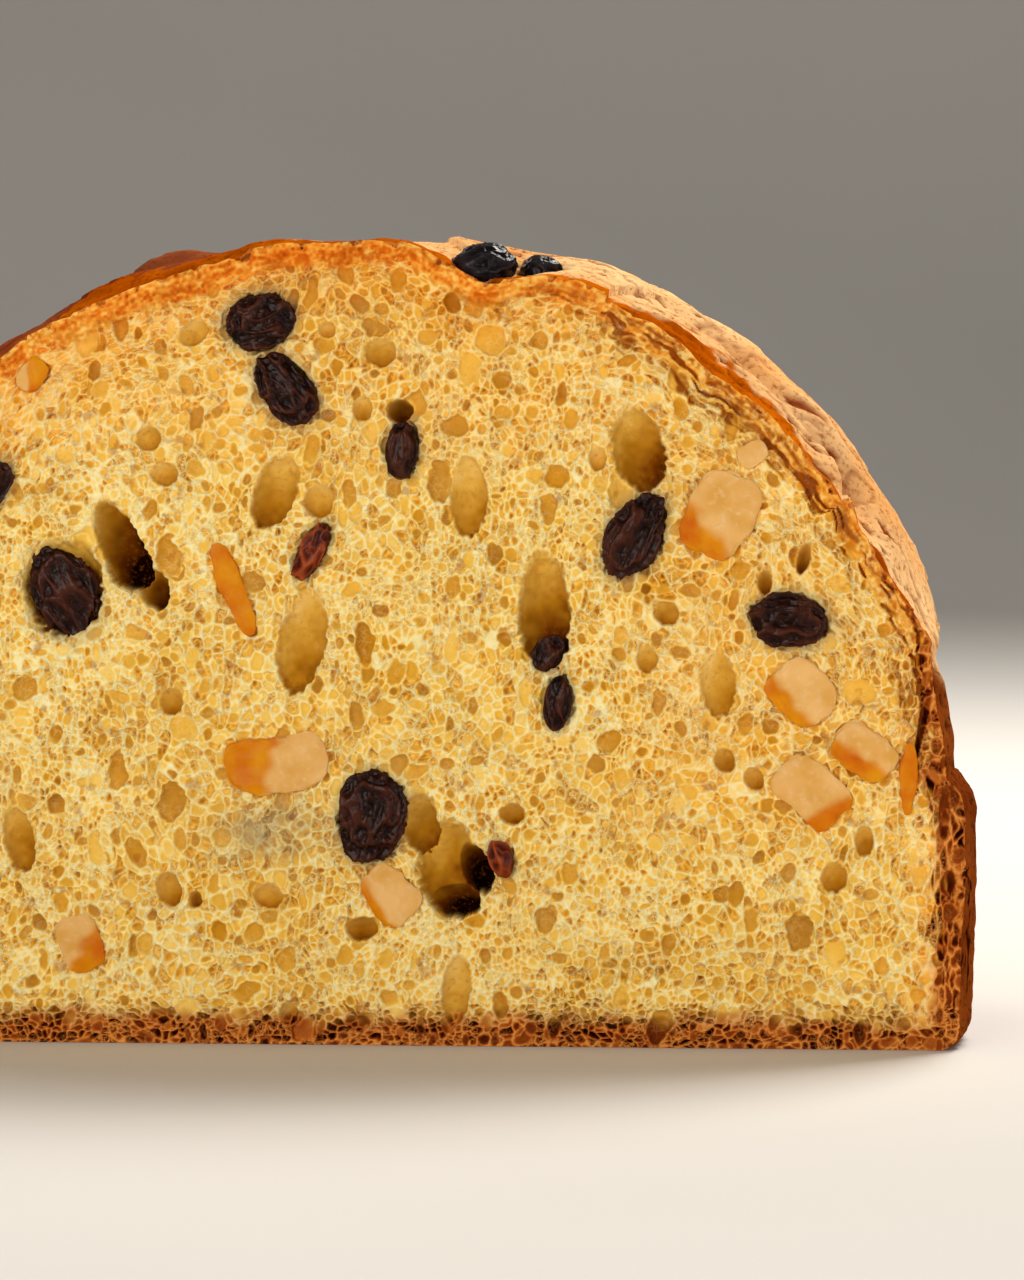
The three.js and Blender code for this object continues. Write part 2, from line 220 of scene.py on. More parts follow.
def meshObject(name, points, groups, attributes, replaced):
    # one mesh from arrays: points in millimetres, and groups of faces with as many corners each
    mesh = bpy.data.meshes.new(name)
    mesh.vertices.add(len(points))
    mesh.vertices.foreach_set("co", (points * mm).astype(np.float32).ravel())
    corners = np.concatenate([faces.ravel() for faces in groups]).astype(np.int32)
    sizes = np.concatenate([np.full(len(faces), faces.shape[1]) for faces in groups])
    starts = np.concatenate(((0,), np.cumsum(sizes)[:-1])).astype(np.int32)
    mesh.loops.add(len(corners))
    mesh.loops.foreach_set("vertex_index", corners)
    mesh.polygons.add(len(sizes))
    mesh.polygons.foreach_set("loop_start", starts)
    mesh.polygons.foreach_set("use_smooth", np.ones(len(sizes), dtype=bool))
    mesh.update(calc_edges=True)
    mesh.validate()
    for key, values in attributes.items():
        layer = mesh.attributes.new(key, "FLOAT", "POINT")
        layer.data.foreach_set("value", values.astype(np.float32))
    piece = bpy.data.objects.new(name, mesh)
    bpy.context.scene.collection.objects.link(piece)
    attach(piece, "root")
    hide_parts(replaced)
    return piece


def gridFaces(rows, columns, wrap):
    # four-cornered faces between neighbouring rows and columns, numbered row by row
    r = np.arange(rows - 1)[:, None]
    c = np.arange(columns if wrap else columns - 1)[None, :]
    d = (c + 1) % columns
    return np.stack((r * columns + c, r * columns + d,
                     (r + 1) * columns + d, (r + 1) * columns + c), axis=-1).reshape(-1, 4)


# nodes that the materials share

def feed(tree, socket, value):
    # a socket is linked to another one or set to a plain value, and a colour gets its alpha
    if isinstance(value, bpy.types.NodeSocket):
        tree.links.new(value, socket)
    else:
        socket.default_value = (*value, 1) if socket.type == "RGBA" else value


def addNode(tree, kind, inputs, **settings):
    # a shader node with its settings, then its inputs by name or number
    node = tree.nodes.new("ShaderNode" + kind)
    for key, value in settings.items():
        setattr(node, key, value)
    for label, value in inputs.items():
        feed(tree, node.inputs[label], value)
    return node


def speckleGroup():
    # soft blotches and small specks on Object coordinates, both from 0 to 1
    group = bpy.data.node_groups.new("specklesAndBlotches", "ShaderNodeTree")
    for label, value in (("Speck Scale", 900.0), ("Blotch Scale", 90.0)):
        socket = group.interface.new_socket(label, in_out="INPUT", socket_type="NodeSocketFloat")
        socket.default_value = value
    for label in ("Specks", "Blotches"):
        group.interface.new_socket(label, in_out="OUTPUT", socket_type="NodeSocketFloat")
    source, result = group.nodes.new("NodeGroupInput"), group.nodes.new("NodeGroupOutput")
    place = addNode(group, "TexCoord", {}).outputs["Object"]
    for label, scale, detail, low, high in (("Specks", "Speck Scale", 4, 0.54, 0.74),
                                            ("Blotches", "Blotch Scale", 6, 0.32, 0.68)):
        noise = addNode(group, "TexNoise", {"Vector": place, "Scale": source.outputs[scale],
                                            "Detail": detail})
        spread = addNode(group, "MapRange", {"Value": noise.outputs["Fac"], "From Min": low,
                                             "From Max": high})
        group.links.new(spread.outputs["Result"], result.inputs[label])
    return group


speckles = speckleGroup()


def speckleNode(tree, speckScale, blotchScale):
    # the shared specks and blotches with this material's scales
    node = addNode(tree, "Group", {"Speck Scale": speckScale, "Blotch Scale": blotchScale},
                   node_tree=speckles)
    return node.outputs["Specks"], node.outputs["Blotches"]


def attributeNode(tree, name):
    # reads one of the piece's own numbers
    return addNode(tree, "Attribute", {}, attribute_name=name).outputs["Fac"]


def mathNode(tree, operation, first, second, third=0.0, clamp=False):
    # one sum on numbers, each a socket or a plain value
    return addNode(tree, "Math", {0: first, 1: second, 2: third}, operation=operation,
                   use_clamp=clamp).outputs[0]


def scaledNode(tree, value, amount):
    # a mask made weaker by a plain amount
    return mathNode(tree, "MULTIPLY", value, amount)


def threadNode(tree):
    # fine broken skins: lines between the cells of a bent net on Object coordinates, in patches
    place = addNode(tree, "TexCoord", {}).outputs["Object"]
    bend = addNode(tree, "TexNoise", {"Vector": place, "Scale": 900.0}).outputs["Color"]
    bent = addNode(tree, "VectorMath", {0: bend, 1: (0.0016, 0.0016, 0.0016), 2: place},
                   operation="MULTIPLY_ADD").outputs["Vector"]
    net = addNode(tree, "TexVoronoi", {"Vector": bent, "Scale": 780.0},
                  feature="DISTANCE_TO_EDGE").outputs["Distance"]
    line = addNode(tree, "MapRange", {"Value": net, "From Min": 0.03, "From Max": 0.12,
                                      "To Min": 1.0, "To Max": 0.0}).outputs["Result"]
    patch = addNode(tree, "TexNoise", {"Vector": place, "Scale": 260.0, "Detail": 3}).outputs["Fac"]
    shown = addNode(tree, "MapRange", {"Value": patch, "From Min": 0.4, "From Max": 0.62})
    return mathNode(tree, "MULTIPLY", line, shown.outputs["Result"])


def rampNode(tree, factor, stops):
    # colours along a number, each stop a place and a colour
    ramp = addNode(tree, "ValToRGB", {"Fac": factor})
    elements = ramp.color_ramp.elements
    while len(elements) < len(stops):
        elements.new(0.5)
    for element, (place, colour) in zip(elements, stops):
        element.position = place
        element.color = (*colour, 1)
    return ramp.outputs["Color"]


def coats(tree, colour, *layers):
    # layers over a colour, each a mask, a colour and, where it isn't plain, the way they mix
    for mask, over, *mode in layers:
        mix = addNode(tree, "Mix", {}, data_type="RGBA", blend_type=mode[0] if mode else "MIX")
        for label, value in (("Factor", mask), ("A", colour), ("B", over)):
            feed(tree, mix.inputs[label], value)
        colour = mix.outputs["Result"]
    return colour


def newMaterial(name, **sockets):
    # a material with its Principled shader's plain values set
    material = bpy.data.materials.new(name)
    material.use_nodes = True
    shader = material.node_tree.nodes["Principled BSDF"]
    for label, value in sockets.items():
        shader.inputs[label.replace("_", " ")].default_value = value
    return material, material.node_tree


def finishMaterial(material, colour, height, strength, distance):
    # colour and fine relief, with its depth in metres, go to the material's shader
    tree = material.node_tree
    shader = tree.nodes["Principled BSDF"]
    bump = addNode(tree, "Bump", {"Height": height, "Strength": strength, "Distance": distance})
    tree.links.new(colour, shader.inputs["Base Color"])
    tree.links.new(bump.outputs["Normal"], shader.inputs["Normal"])
    return material


def paint(red, green, blue):
    # a screen colour from 0 to 255 as the linear light that shaders use
    shares = np.array((red, green, blue)) / 255
    return tuple(float(v) for v in np.where(shares <= 0.04045, shares / 12.92,
                                            ((shares + 0.055) / 1.055) ** 2.4))


# the outside of the loaf

def outlineRadius(z):
    # radius of the bare loaf at a height: straight lines up the wall and neck, then an ellipse
    p = loaf
    wall, taper, band = p["wallRadius"], p["wallTaper"], p["bandRadius"]
    top, edge, reach = wallHeight, p["edgeRadius"], wall - taper - p["baseRadius"]
    profile = [(p["cornerRadius"] * (1 - np.cos(turn)), p["baseRadius"] + reach * np.sin(turn))
               for turn in np.linspace(0, np.pi / 2, 4)]
    profile += [(top * 0.36, wall - taper / 4), (top * 0.67, wall), (top - edge, wall),
                (top, wall - taper), (top + edge, band + taper), (top + 3 * edge, band),
                ((top + creaseHeight) / 2 + 4, (band + p["creaseRadius"]) / 2),
                (creaseHeight, p["creaseRadius"])]
    heights, radii = zip(*profile)
    lift = (z - domeFoot) / p["domeRise"]
    dome = domeRadius * np.sqrt(np.clip(1 - lift * lift, 0, None))
    above = softStep(creaseHeight, creaseHeight + 5, z)
    return np.interp(z, heights, radii) * (1 - above) + dome * above


def leanAt(z):
    # the top's lean grows evenly from the crease up
    share = np.clip((z - creaseHeight) / (domeTop - creaseHeight), 0, None)
    return loaf["domeLean"][0] * share, loaf["domeLean"][1] * share


def fromAxis(x, y, z):
    # sideways and backward distance of a place from the leaning axis
    leanX, leanY = leanAt(z)
    return x - leanX, y - axisY - leanY


def aroundCut(x, z):
    # angle of a place round the middle of the cut, and its distance from there
    return np.arctan2(z - domeFoot, x), np.hypot(x, z - domeFoot)


def placedMarks():
    # a crust mark's middle, its directions along and across, and its sizes
    placed = []
    for degrees, height, length, width, turn, rise in loaf["marks"]:
        angle = np.radians(degrees)
        lift = (height - domeFoot) / loaf["domeRise"]
        slope = np.sqrt(1 - lift * lift)
        leanX, leanY = leanAt(height)
        middle = np.array((domeRadius * slope * np.cos(angle) + leanX,
                           domeRadius * slope * np.sin(angle) + leanY + axisY, height))
        around = np.array((-np.sin(angle), np.cos(angle), 0))
        up = np.array((-np.cos(angle) * lift, -np.sin(angle) * lift, slope))
        c, s = cosSin(turn)
        placed.append((middle, around * c + up * s, up * c - around * s, length, width, rise))
    return placed


marksInPlace = placedMarks()


def crustRelief(points):
    # swell of the dome and dents of the wall at bare points: sums of sines, plus each mark's bell
    x, y, z = points.T
    swell = np.zeros(x.shape)
    for size, wavelength, direction, phase in loaf["domeWaves"]:
        c, s = cosSin(direction)
        run = x * c + y * s + z * 0.6
        swell += size * np.sin(run / wavelength * 2 * np.pi + phase)
    swell *= softStep(wallHeight, wallHeight + 12, z)
    for middle, along, across, length, width, rise in marksInPlace:
        offset = points - middle
        a = offset @ along / (length / 2)
        b = offset @ across / (width / 2)
        near = np.linalg.norm(offset, axis=1) < length
        swell += np.where(near, rise * np.exp(-np.minimum(a ** 4, 50) - b * b), 0)
    sideways, backward = fromAxis(x, y, z)
    angle = np.arctan2(backward, sideways)
    dent = sum(size * np.sin(count * angle + phase) for size, count, phase in loaf["wallWaves"])
    dent = dent * (z <= wallHeight + loaf["edgeRadius"])
    return swell, dent, angle


# crust: the skin of the loaf, from the cut edge round to the back

crust = {
    "topFrom": -26.0, "topTo": 206.0,   # degrees in the cut plane that count as dome and wall
    "topStep": 0.3, "baseStep": 0.9,    # degrees between columns
    "rows": 255,                        # from the cut to the middle of the back
    "crowd": 1.35,                      # over 1 sets the rows closer beside the cut
    "settle": 14.0,                     # degrees behind the cut over which the skin meets its plane
    "tan": paint(236, 170, 102), "tanLight": paint(250, 204, 144), "tanDark": paint(200, 112, 50),
    "brown": paint(112, 44, 10), "brownDark": paint(52, 12, 3), "brownLight": paint(150, 74, 24),
    # the ruddy pair paints the left side by the cut redder and darker, as painted shade
    "redBrown": paint(150, 66, 26), "ruddyShade": paint(170, 84, 44), "ruddyShadeDark": paint(104, 36, 16),
    "groove": paint(214, 106, 2), "grooveDark": paint(160, 62, 1),
    # where the glaze runs out over the rim: degrees in the cut plane, spread, width
    "glazeRuns": ((49, 9, 5.5), (92, 20, 3.5), (119, 7, 7)),
    "glazeLip": 1.1,                    # width of the glazed rim elsewhere
    "wallClimb": (21, 18),              # how high and how far back brown rises by the right shoulder
    # length along the crust, width and seed: broad, middle and small swells, the flakes' slow
    # level, torn places, slits and pores
    "noises": ((13, 8, 11), (4.2, 2.3, 12), (1.7, 1.1, 13), (16, 8, 19), (14, 12, 17),
               (3.8, 1.2, 16), (1.5, 1.3, 18)),
    # heights of broad, middle and small swells, flakes, slits and pores on the dome
    "domeRelief": (0.4, 0.26, 0.12, 0.4, -0.55, -0.3),
    # heights of broad swells, ribs, fine ribs and pores on the wall
    "wallRelief": (0.25, 0.45, 0.25, -0.6),
    "rayLength": 240.0, "halvings": 34,   # of the rays that find the bare loaf
    "roughness": 0.66,
}


def crustNoise(points, along, across, seed):
    # beside the cut the noise is drawn out along the arc that runs over the loaf; further behind,
    # it gives way to noise that is alike in all directions
    x, y, z = points.T
    angle, deep = aroundCut(x, z)
    arc = angle * domeRadius
    size = (along + 2 * across) / 3
    behind = softStep(6, 40, y - cutY)
    drawn = turnedNoise(arc / along, y / across, deep / across, seed)
    return drawn * (1 - behind) + turnedNoise(x / size, y / size, z / size, seed + 40) * behind


def crustFine(points, onBase):
    # flaky, torn dome and a ribbed wall: noise at several sizes, terraces where slow noise passes
    # a whole number, and slits and pores where finer noise is high, which with the flake edges are
    # darkened as painted shade
    x, y, z = points.T
    wall = fade(wallHeight - 2, wallHeight + 4, z)
    dome = 1 - wall
    broad, middle, small, slow, torn, slit, pore = (crustNoise(points, *sizes)
                                                    for sizes in crust["noises"])
    level = 2.2 * slow + 0.35 * middle
    flake = level - np.floor(level)
    edge = bell(flake, 0.04, 0.06)
    ribs = turnedNoise(x / 1.6, y / 1.6, z / 7, 14)
    fineRibs = turnedNoise(x / 0.9, y / 0.9, z / 2.6, 15)
    slits = softStep(0.42, 0.72, slit + 0.35 * torn)
    pores = softStep(0.45, 0.8, pore)
    onDome, onWall = (
        sum(height * form for height, form in zip(crust[key], forms))
        for key, forms in (("domeRelief", (broad, middle, small, flake, slits, pores)),
                           ("wallRelief", (broad, ribs, fineRibs, pores))))
    up = dome * onDome + wall * onWall * (1 - onBase)
    # the second number is a mask of painted shade in slits, pores and flake edges
    return up, np.clip(slits + 0.6 * pores + 0.5 * edge * dome, 0, 1)


def crustSurface(directions):
    # where rays from the middle of the cut leave the loaf, found by halving, then lifted by relief
    start = np.array((0.0, cutY, domeFoot))
    near = np.zeros(len(directions))
    far = np.full(len(directions), crust["rayLength"])
    for _ in range(crust["halvings"]):
        half = (near + far) / 2
        x, y, z = (start + directions * half[:, None]).T
        inside = (z > 0) & (z < domeTop) & (np.hypot(*fromAxis(x, y, z)) < outlineRadius(z))
        near, far = np.where(inside, half, near), np.where(inside, far, half)
    points = start + directions * near[:, None]
    swell, dent, angle = crustRelief(points)
    slope = np.minimum(1, np.hypot(*fromAxis(*points.T)) / domeRadius)
    onBase = points[:, 2] < flush
    slope = np.where(onBase, 1, slope)
    fine, pitShade = crustFine(points, np.where(onBase, 1.0, 0.0))
    swell = np.where(onBase, 0, swell + fine)
    out = np.where(onBase, 0, dent) + swell * slope
    points = points + np.stack((out * np.cos(angle), out * np.sin(angle),
                                swell * np.sqrt(1 - slope * slope)), axis=1)
    points[:, 2] = np.maximum(points[:, 2], 0)
    return points, pitShade


def crustColumns(start, stop, step):
    # angles in the cut plane, evenly spaced
    return np.radians(np.linspace(start, stop, int(round((stop - start) / step)) + 1))


def crustPiece(name, angles):
    # a fan of the skin: each column of rays turns from the cut (0) to straight back (90 degrees)
    rows = crust["rows"]
    back = np.linspace(0, 1, rows + 1)[:-1] ** crust["crowd"] * np.pi / 2
    ray = np.stack((np.cos(back)[:, None] * np.cos(angles), np.sin(back)[:, None] + 0 * angles,
                    np.cos(back)[:, None] * np.sin(angles)), axis=-1).reshape(-1, 3)
    points, pitShade = crustSurface(np.vstack((ray, ((0.0, 1.0, 0.0),))))
    count = len(angles)
    grid = points[:-1].reshape(rows, count, 3)
    settle = fade(0, np.radians(crust["settle"]), back)
    grid[:, :, 1] -= (grid[0, :, 1] - cutY)[None, :] * settle[:, None]
    points = np.vstack((grid.reshape(-1, 3), points[-1:]))
    quads = gridFaces(rows, count, False)[:, ::-1]
    last = (rows - 1) * count + np.arange(count - 1)
    tip = np.stack((last, np.full(count - 1, rows * count), last + 1), axis=1)
    x, y, z = points.T
    behind = y - cutY
    rise, spread = crust["wallClimb"]
    climb = rise * bell(behind, 0, spread) * softStep(72, 86, x)
    low = fade(wallHeight - 1.5, wallHeight + 5,
               z - climb + 1.6 * solidNoise(x / 5, y / 5, z / 5, 31))
    arc = np.degrees(aroundCut(x, z)[0])
    runs = sum(bell(arc, middle, width) * reach for middle, width, reach in crust["glazeRuns"])
    rim = fade(0.75, 1.05, behind / (crust["glazeLip"] + runs)
               + 0.35 * solidNoise(x / 2, y, z / 2, 32))
    # painted shade: the dome left of the cut is redder and darker, most near the cut
    ruddyShade = softStep(0, 34, -x + 9 * solidNoise(x / 13, y / 13, z / 13, 33))
    ruddyShade = ruddyShade * fade(14, 60, behind) * softStep(50, 70, z)
    attributes = {"pitShade": pitShade, "wall": low, "rim": rim * (1 - low), "ruddyShade": ruddyShade}
    piece = meshObject(name, points, (quads, tip), attributes, "loaf")
    return piece, grid[0]


def rimOutline(rows):
    # the cut edge of the skin: angles round the middle in rising order, and distances from it
    edge = np.concatenate(rows)
    angle, reach = aroundCut(edge[:, 0], edge[:, 2])
    order = np.argsort(angle)
    order = order[np.append(True, np.diff(angle[order]) > 1e-6)]
    return angle[order], reach[order]


columns = {
    "crust_right": crustColumns(crust["topFrom"], 90, crust["topStep"]),
    "crust_left": crustColumns(90, crust["topTo"], crust["topStep"]),
    "crust_base": crustColumns(crust["topTo"], 360 + crust["topFrom"], crust["baseStep"]),
}
crustPieces, crustEdges = [], []
for crustName, crustAngles in columns.items():
    builtPiece, builtEdge = crustPiece(crustName, crustAngles)
    crustPieces.append(builtPiece)
    crustEdges.append(builtEdge)
rimAngle, rimReach = rimOutline(crustEdges)
print("stage: crust skin")


def rimAt(angle):
    # distance of the cut edge from the middle, at an angle
    return np.interp(angle, rimAngle, rimReach, period=2 * np.pi)


# fruit: sizes, shared by the pieces themselves and by the hollows round them

raisins = {
    # x, z, length, width, depth, slant in degrees, setback, redness
    "raisin_01": (-19.2, 119.0, 11.2, 9.6, 8, 10, 0.1, 0.15),
    "raisin_02": (-14.8, 108.2, 13.4, 8.4, 8, -52, 0.1, 0.05),
    "raisin_03": (4.5, 98.6, 9.4, 5.4, 6, 86, 0.1, 0.2),
    "raisin_04": (-51.6, 74.3, 14.4, 11.0, 9, -66, 2.6, 0.15),
    "raisin_05": (-10.4, 81.6, 10.2, 4.6, 4, 62, 0.1, 1.0),
    "raisin_06": (42.8, 84.2, 14.8, 8.8, 9, 62, 0.1, 0.2),
    "raisin_07": (28.4, 64.6, 6.0, 5.0, 6, 60, 2.2, 0.1),
    "raisin_08": (30.1, 56.8, 8.8, 4.2, 6, 84, 0.1, 0.0),
    "raisin_09": (68.3, 70.4, 12.6, 8.8, 8, -8, 0.1, 0.1),
    "raisin_10": (-0.6, 37.6, 14.4, 11.4, 10, 74, 0.1, 0.1),
    "raisin_11": (20.7, 31.0, 5.8, 3.8, 4, -70, 0.1, 0.9),
    "raisin_12": (-65, 92, 10.5, 7, 7, 40, 0.1, 0.15),
    "raisin_13": (-78, 30, 11.5, 8.5, 8, -20, 0.1, 0.1),
}
topRaisins = {
    # x, distance behind the cut, z, length, depth, height
    "raisin_top_01": (18.4, 4.6, 128.4, 10.8, 8, 7.6),
    "raisin_top_02": (27, 9.4, 127.2, 7, 7, 6),
    "raisin_top_03": (32.2, 13.6, 126.4, 4, 4, 3.2),
}
peels = {
    # x, z, length, width, depth, slant in degrees, squareness, zest side in degrees, zest share
    "peel_01": (56.4, 87.6, 14.2, 10.6, 8, 66, 4, 215, 0.30),
    "peel_02": (61.8, 97.6, 4.6, 3.8, 5, 30, 3, 200, 0.0),
    "peel_03": (69.8, 58.3, 11.4, 9.2, 8, -46, 3, 220, 0.35),
    "peel_04": (80.2, 48.6, 10.8, 7.4, 8, -38, 4, 235, 0.45),
    "peel_05": (71.8, 42.2, 12.4, 8.6, 8, -44, 4, 300, 0.2),
    "peel_06": (-16.8, 46.4, 16.6, 9.6, 8, 6, 3.4, 165, 0.5),
    "peel_07": (2.4, 25, 9.8, 7.4, 7, -44, 3.4, 215, 0.25),
    "peel_08": (-49.2, 16.4, 9.2, 6.6, 7, -70, 3.4, 330, 0.45),
    "peel_09": (-23.6, 75.4, 15.4, 3.4, 5, -68, 3, 0, 1.0),
    "peel_10": (-57, 110.2, 5.8, 4.4, 4, 50, 3, 0, 0.6),
    "peel_11": (87.4, 44.6, 11.4, 1.8, 5, 88, 3, 0, 1.0),
    "peel_12": (-70, 56, 10.4, 8.6, 8, 24, 3.4, 200, 0.3),
}

# crumb: the cut face, one height field of open bubbles

crumb = {
    "step": 0.2,           # spacing of the grid
    "strips": 8,           # pieces side by side
    "cell": 1.95,          # usual size of a bubble
    "fineCell": 1.15,      # and where the crumb is close
    "innerCell": 0.95,     # bubbles seen through broken ones
    "jitter": 0.98,        # how far a bubble's middle strays from its place in the grid
    # how the grid of bubbles is bent: share, size across, size up and seed of each noise
    "swayAcross": ((0.45, 2.3, 2.3, 41), (1.2, 9, 9, 42), (0.16, 0.75, 0.75, 37)),
    "swayUp": ((0.45, 2.3, 2.3, 43), (1.2, 9, 9, 44), (0.16, 0.75, 0.75, 38)),
    "cellDepth": 1.0,      # depth of a usual bubble
    "webWidth": 0.115,     # half width of the skins between bubbles
    "arcRadius": 92,       # turns an angle in the cut plane into a distance along the crust
    # round bubbles: grid spacing, share kept, least and greatest radius over spacing, seed, stretch
    "roundBubbles": ((2.7, 0.6, 0.22, 0.38, 61, 1.2), (4.8, 0.55, 0.18, 0.34, 62, 1.25),
                     (9.0, 0.45, 0.15, 0.27, 63, 1.35)),
    "domeGrain": 17.0,     # how far in from the dome the bubbles lie flat along the crust
    "undulation": 0.5,     # height of the face's slow hills
    "slitWidth": 2.3,      # large bubbles narrower than this are painted dark all through, as shade
    # hollows behind the fruit: fine and broad raggedness of the rim, and depth
    "raisinHollow": (0.08, 0.05, 3.2), "peelHollow": (0.05, 0.03, 0.9),
    "juice": (-17.0, 35.4, 8.0, 5.4),   # middle, width and height of a patch stained by fruit
    "glaze": 3.6,          # orange band along the dome's edge
    "wallBake": 5.0,       # brown band along the moulded wall
    "baseBake": 6.0,       # brown band along the bottom
}
bubbles = (
    # x, z, width, height, depth, slant in degrees
    (-16.6, 91.5, 7.5, 14, 7, -22), (-9.4, 90, 5.4, 6.2, 5, -10),
    (-42.5, 82.5, 7, 17, 15, 24), (-36.8, 75.2, 5.6, 7.6, 12, 20), (-41.2, 79.6, 8, 10.5, 14, 26),
    (43, 98.5, 9.5, 15.5, 9, 16), (15.2, 91, 6.6, 14.4, 5, 0),
    (27.6, 72, 9.2, 21, 10, 2), (-52, 76, 14.6, 17.6, 9, 0),
    (3.8, 104.6, 4.6, 4.4, 11, 0), (-12.2, 67, 8.6, 18.5, 6, -12),
    (56.2, 60, 6.4, 11.6, 5, 2), (11.6, 30.2, 10.2, 17, 9, 0),
    (7.2, 37, 6.6, 11, 8, 8), (0.8, 114.2, 5.8, 5.4, 5, 0),
    (-30, 117.4, 5.6, 4.4, 4, 25), (-8, 117.8, 3.2, 3, 4, 0),
    (-2.2, 105, 3.4, 4.6, 4, 0), (-37.6, 100, 4.6, 4.8, 4, 0),
    (-35, 94.2, 5, 4.2, 4, 0), (-34, 56.6, 4.2, 5.4, 5, 0),
    (-59.6, 34, 5.6, 12, 6, 8), (-34.6, 25.6, 4.6, 6.6, 6, 20),
    (-30.2, 23.8, 2.4, 3.2, 7, 0), (-18, 24.6, 5.2, 4.6, 5, -20),
    (-2.6, 19.2, 5.8, 4.6, 7, 0), (13.2, 9.6, 5.2, 13, 4, -6),
    (44.6, 64, 3.8, 4.6, 4, 0), (47.8, 71.6, 4.4, 4.4, 5, 0),
    (36.4, 96.8, 3.2, 4.4, 4, 0), (57.2, 47.4, 3.8, 4.6, 5, 20),
    (62, 44.4, 3.4, 4.4, 5, 25), (75.2, 28.4, 4.6, 5.6, 5, 0),
    (80.2, 34.4, 3.4, 5.6, 5, 0), (22.4, 38.4, 4.6, 4, 6, 0),
    (63.8, 76.6, 2.6, 4.4, 6, 0), (70.2, 80.6, 2.4, 6, 8, -14),
    (-35.8, 4.6, 4.2, 3, 4, 0), (-14.6, 5.2, 3.4, 4.4, 4, 0),
    (-3.2, 3.6, 4.4, 3, 4, 0), (-66, 60, 5, 9, 5, -14),
    (-74, 84, 7, 5, 5, 30), (-78, 44, 5, 7, 5, 6), (-84, 66, 3.6, 8, 5, 12),
    # the slit under the right shoulder's lip, and the torn pockets below it
    (90.1, 56.0, 1.5, 19, 5, -11), (93.0, 46.6, 2.2, 3.2, 5, 0), (93.2, 38.6, 2.0, 9.5, 5, 0),
    (90.8, 43.0, 3.0, 3.4, 1.6, 0), (94.4, 27.5, 1.6, 5, 3, 4), (93.0, 17.5, 1.8, 6, 3, -4),
    # the deep pockets at the foot of the low middle bubble
    (13.0, 24.4, 9.4, 7.2, 15, -8), (16.0, 29.4, 6.2, 10, 18, 28),
)


def turnedPlace(x, z, across, up, slant):
    # a place measured along and across a shape's own axes, turned by slant towards the left
    c, s = cosSin(slant)
    return (x - across) * c + (z - up) * s, (z - up) * c - (x - across) * s


def turnPoints(points, slant):
    # points turned about the line towards the back, by slant towards the left
    c, s = cosSin(slant)
    x, y, z = points.T
    return np.stack((x * c - z * s, y, x * s + z * c), axis=1)


def blockRatio(x, z, across, up, length, width, slant, power):
    # distance from the middle of a block with soft corners, over its size there:
    # (|u|^n + |v|^n)^(1/n), which is an oval where n is 2
    u, v = turnedPlace(x, z, across, up, slant)
    return (np.abs(u / (length / 2)) ** power + np.abs(v / (width / 2)) ** power) ** (1 / power)


def measureFace(x, z):
    # a point's distances from the edges of the cut, and its place bent a little, so that no row of
    # the grids shows
    f = SimpleNamespace(x=x, z=z)
    angle, reach = aroundCut(x, z)
    f.inward = rimAt(angle) - reach
    wallReach = np.sqrt(np.maximum(outlineRadius(z) ** 2 - loaf["cutSetback"] ** 2, 0))
    f.fromWall = np.where(z < creaseHeight, wallReach - np.abs(x), farAway)
    f.fromDome = np.where(z > domeFoot - 6, f.inward * 0.97, farAway)
    f.fromEdge = np.maximum(np.minimum(np.minimum(f.fromWall, f.fromDome), z), 0)
    f.wx = addedNoise(x, x, z, *crumb["swayAcross"])
    f.wz = addedNoise(z, x, z, *crumb["swayUp"])
    f.along = angle * crumb["arcRadius"]
    f.bentAlong = f.along + evenNoise(x, z, 4, 45)
    f.bentIn = f.inward + 0.6 * evenNoise(x, z, 3, 46)
    return f


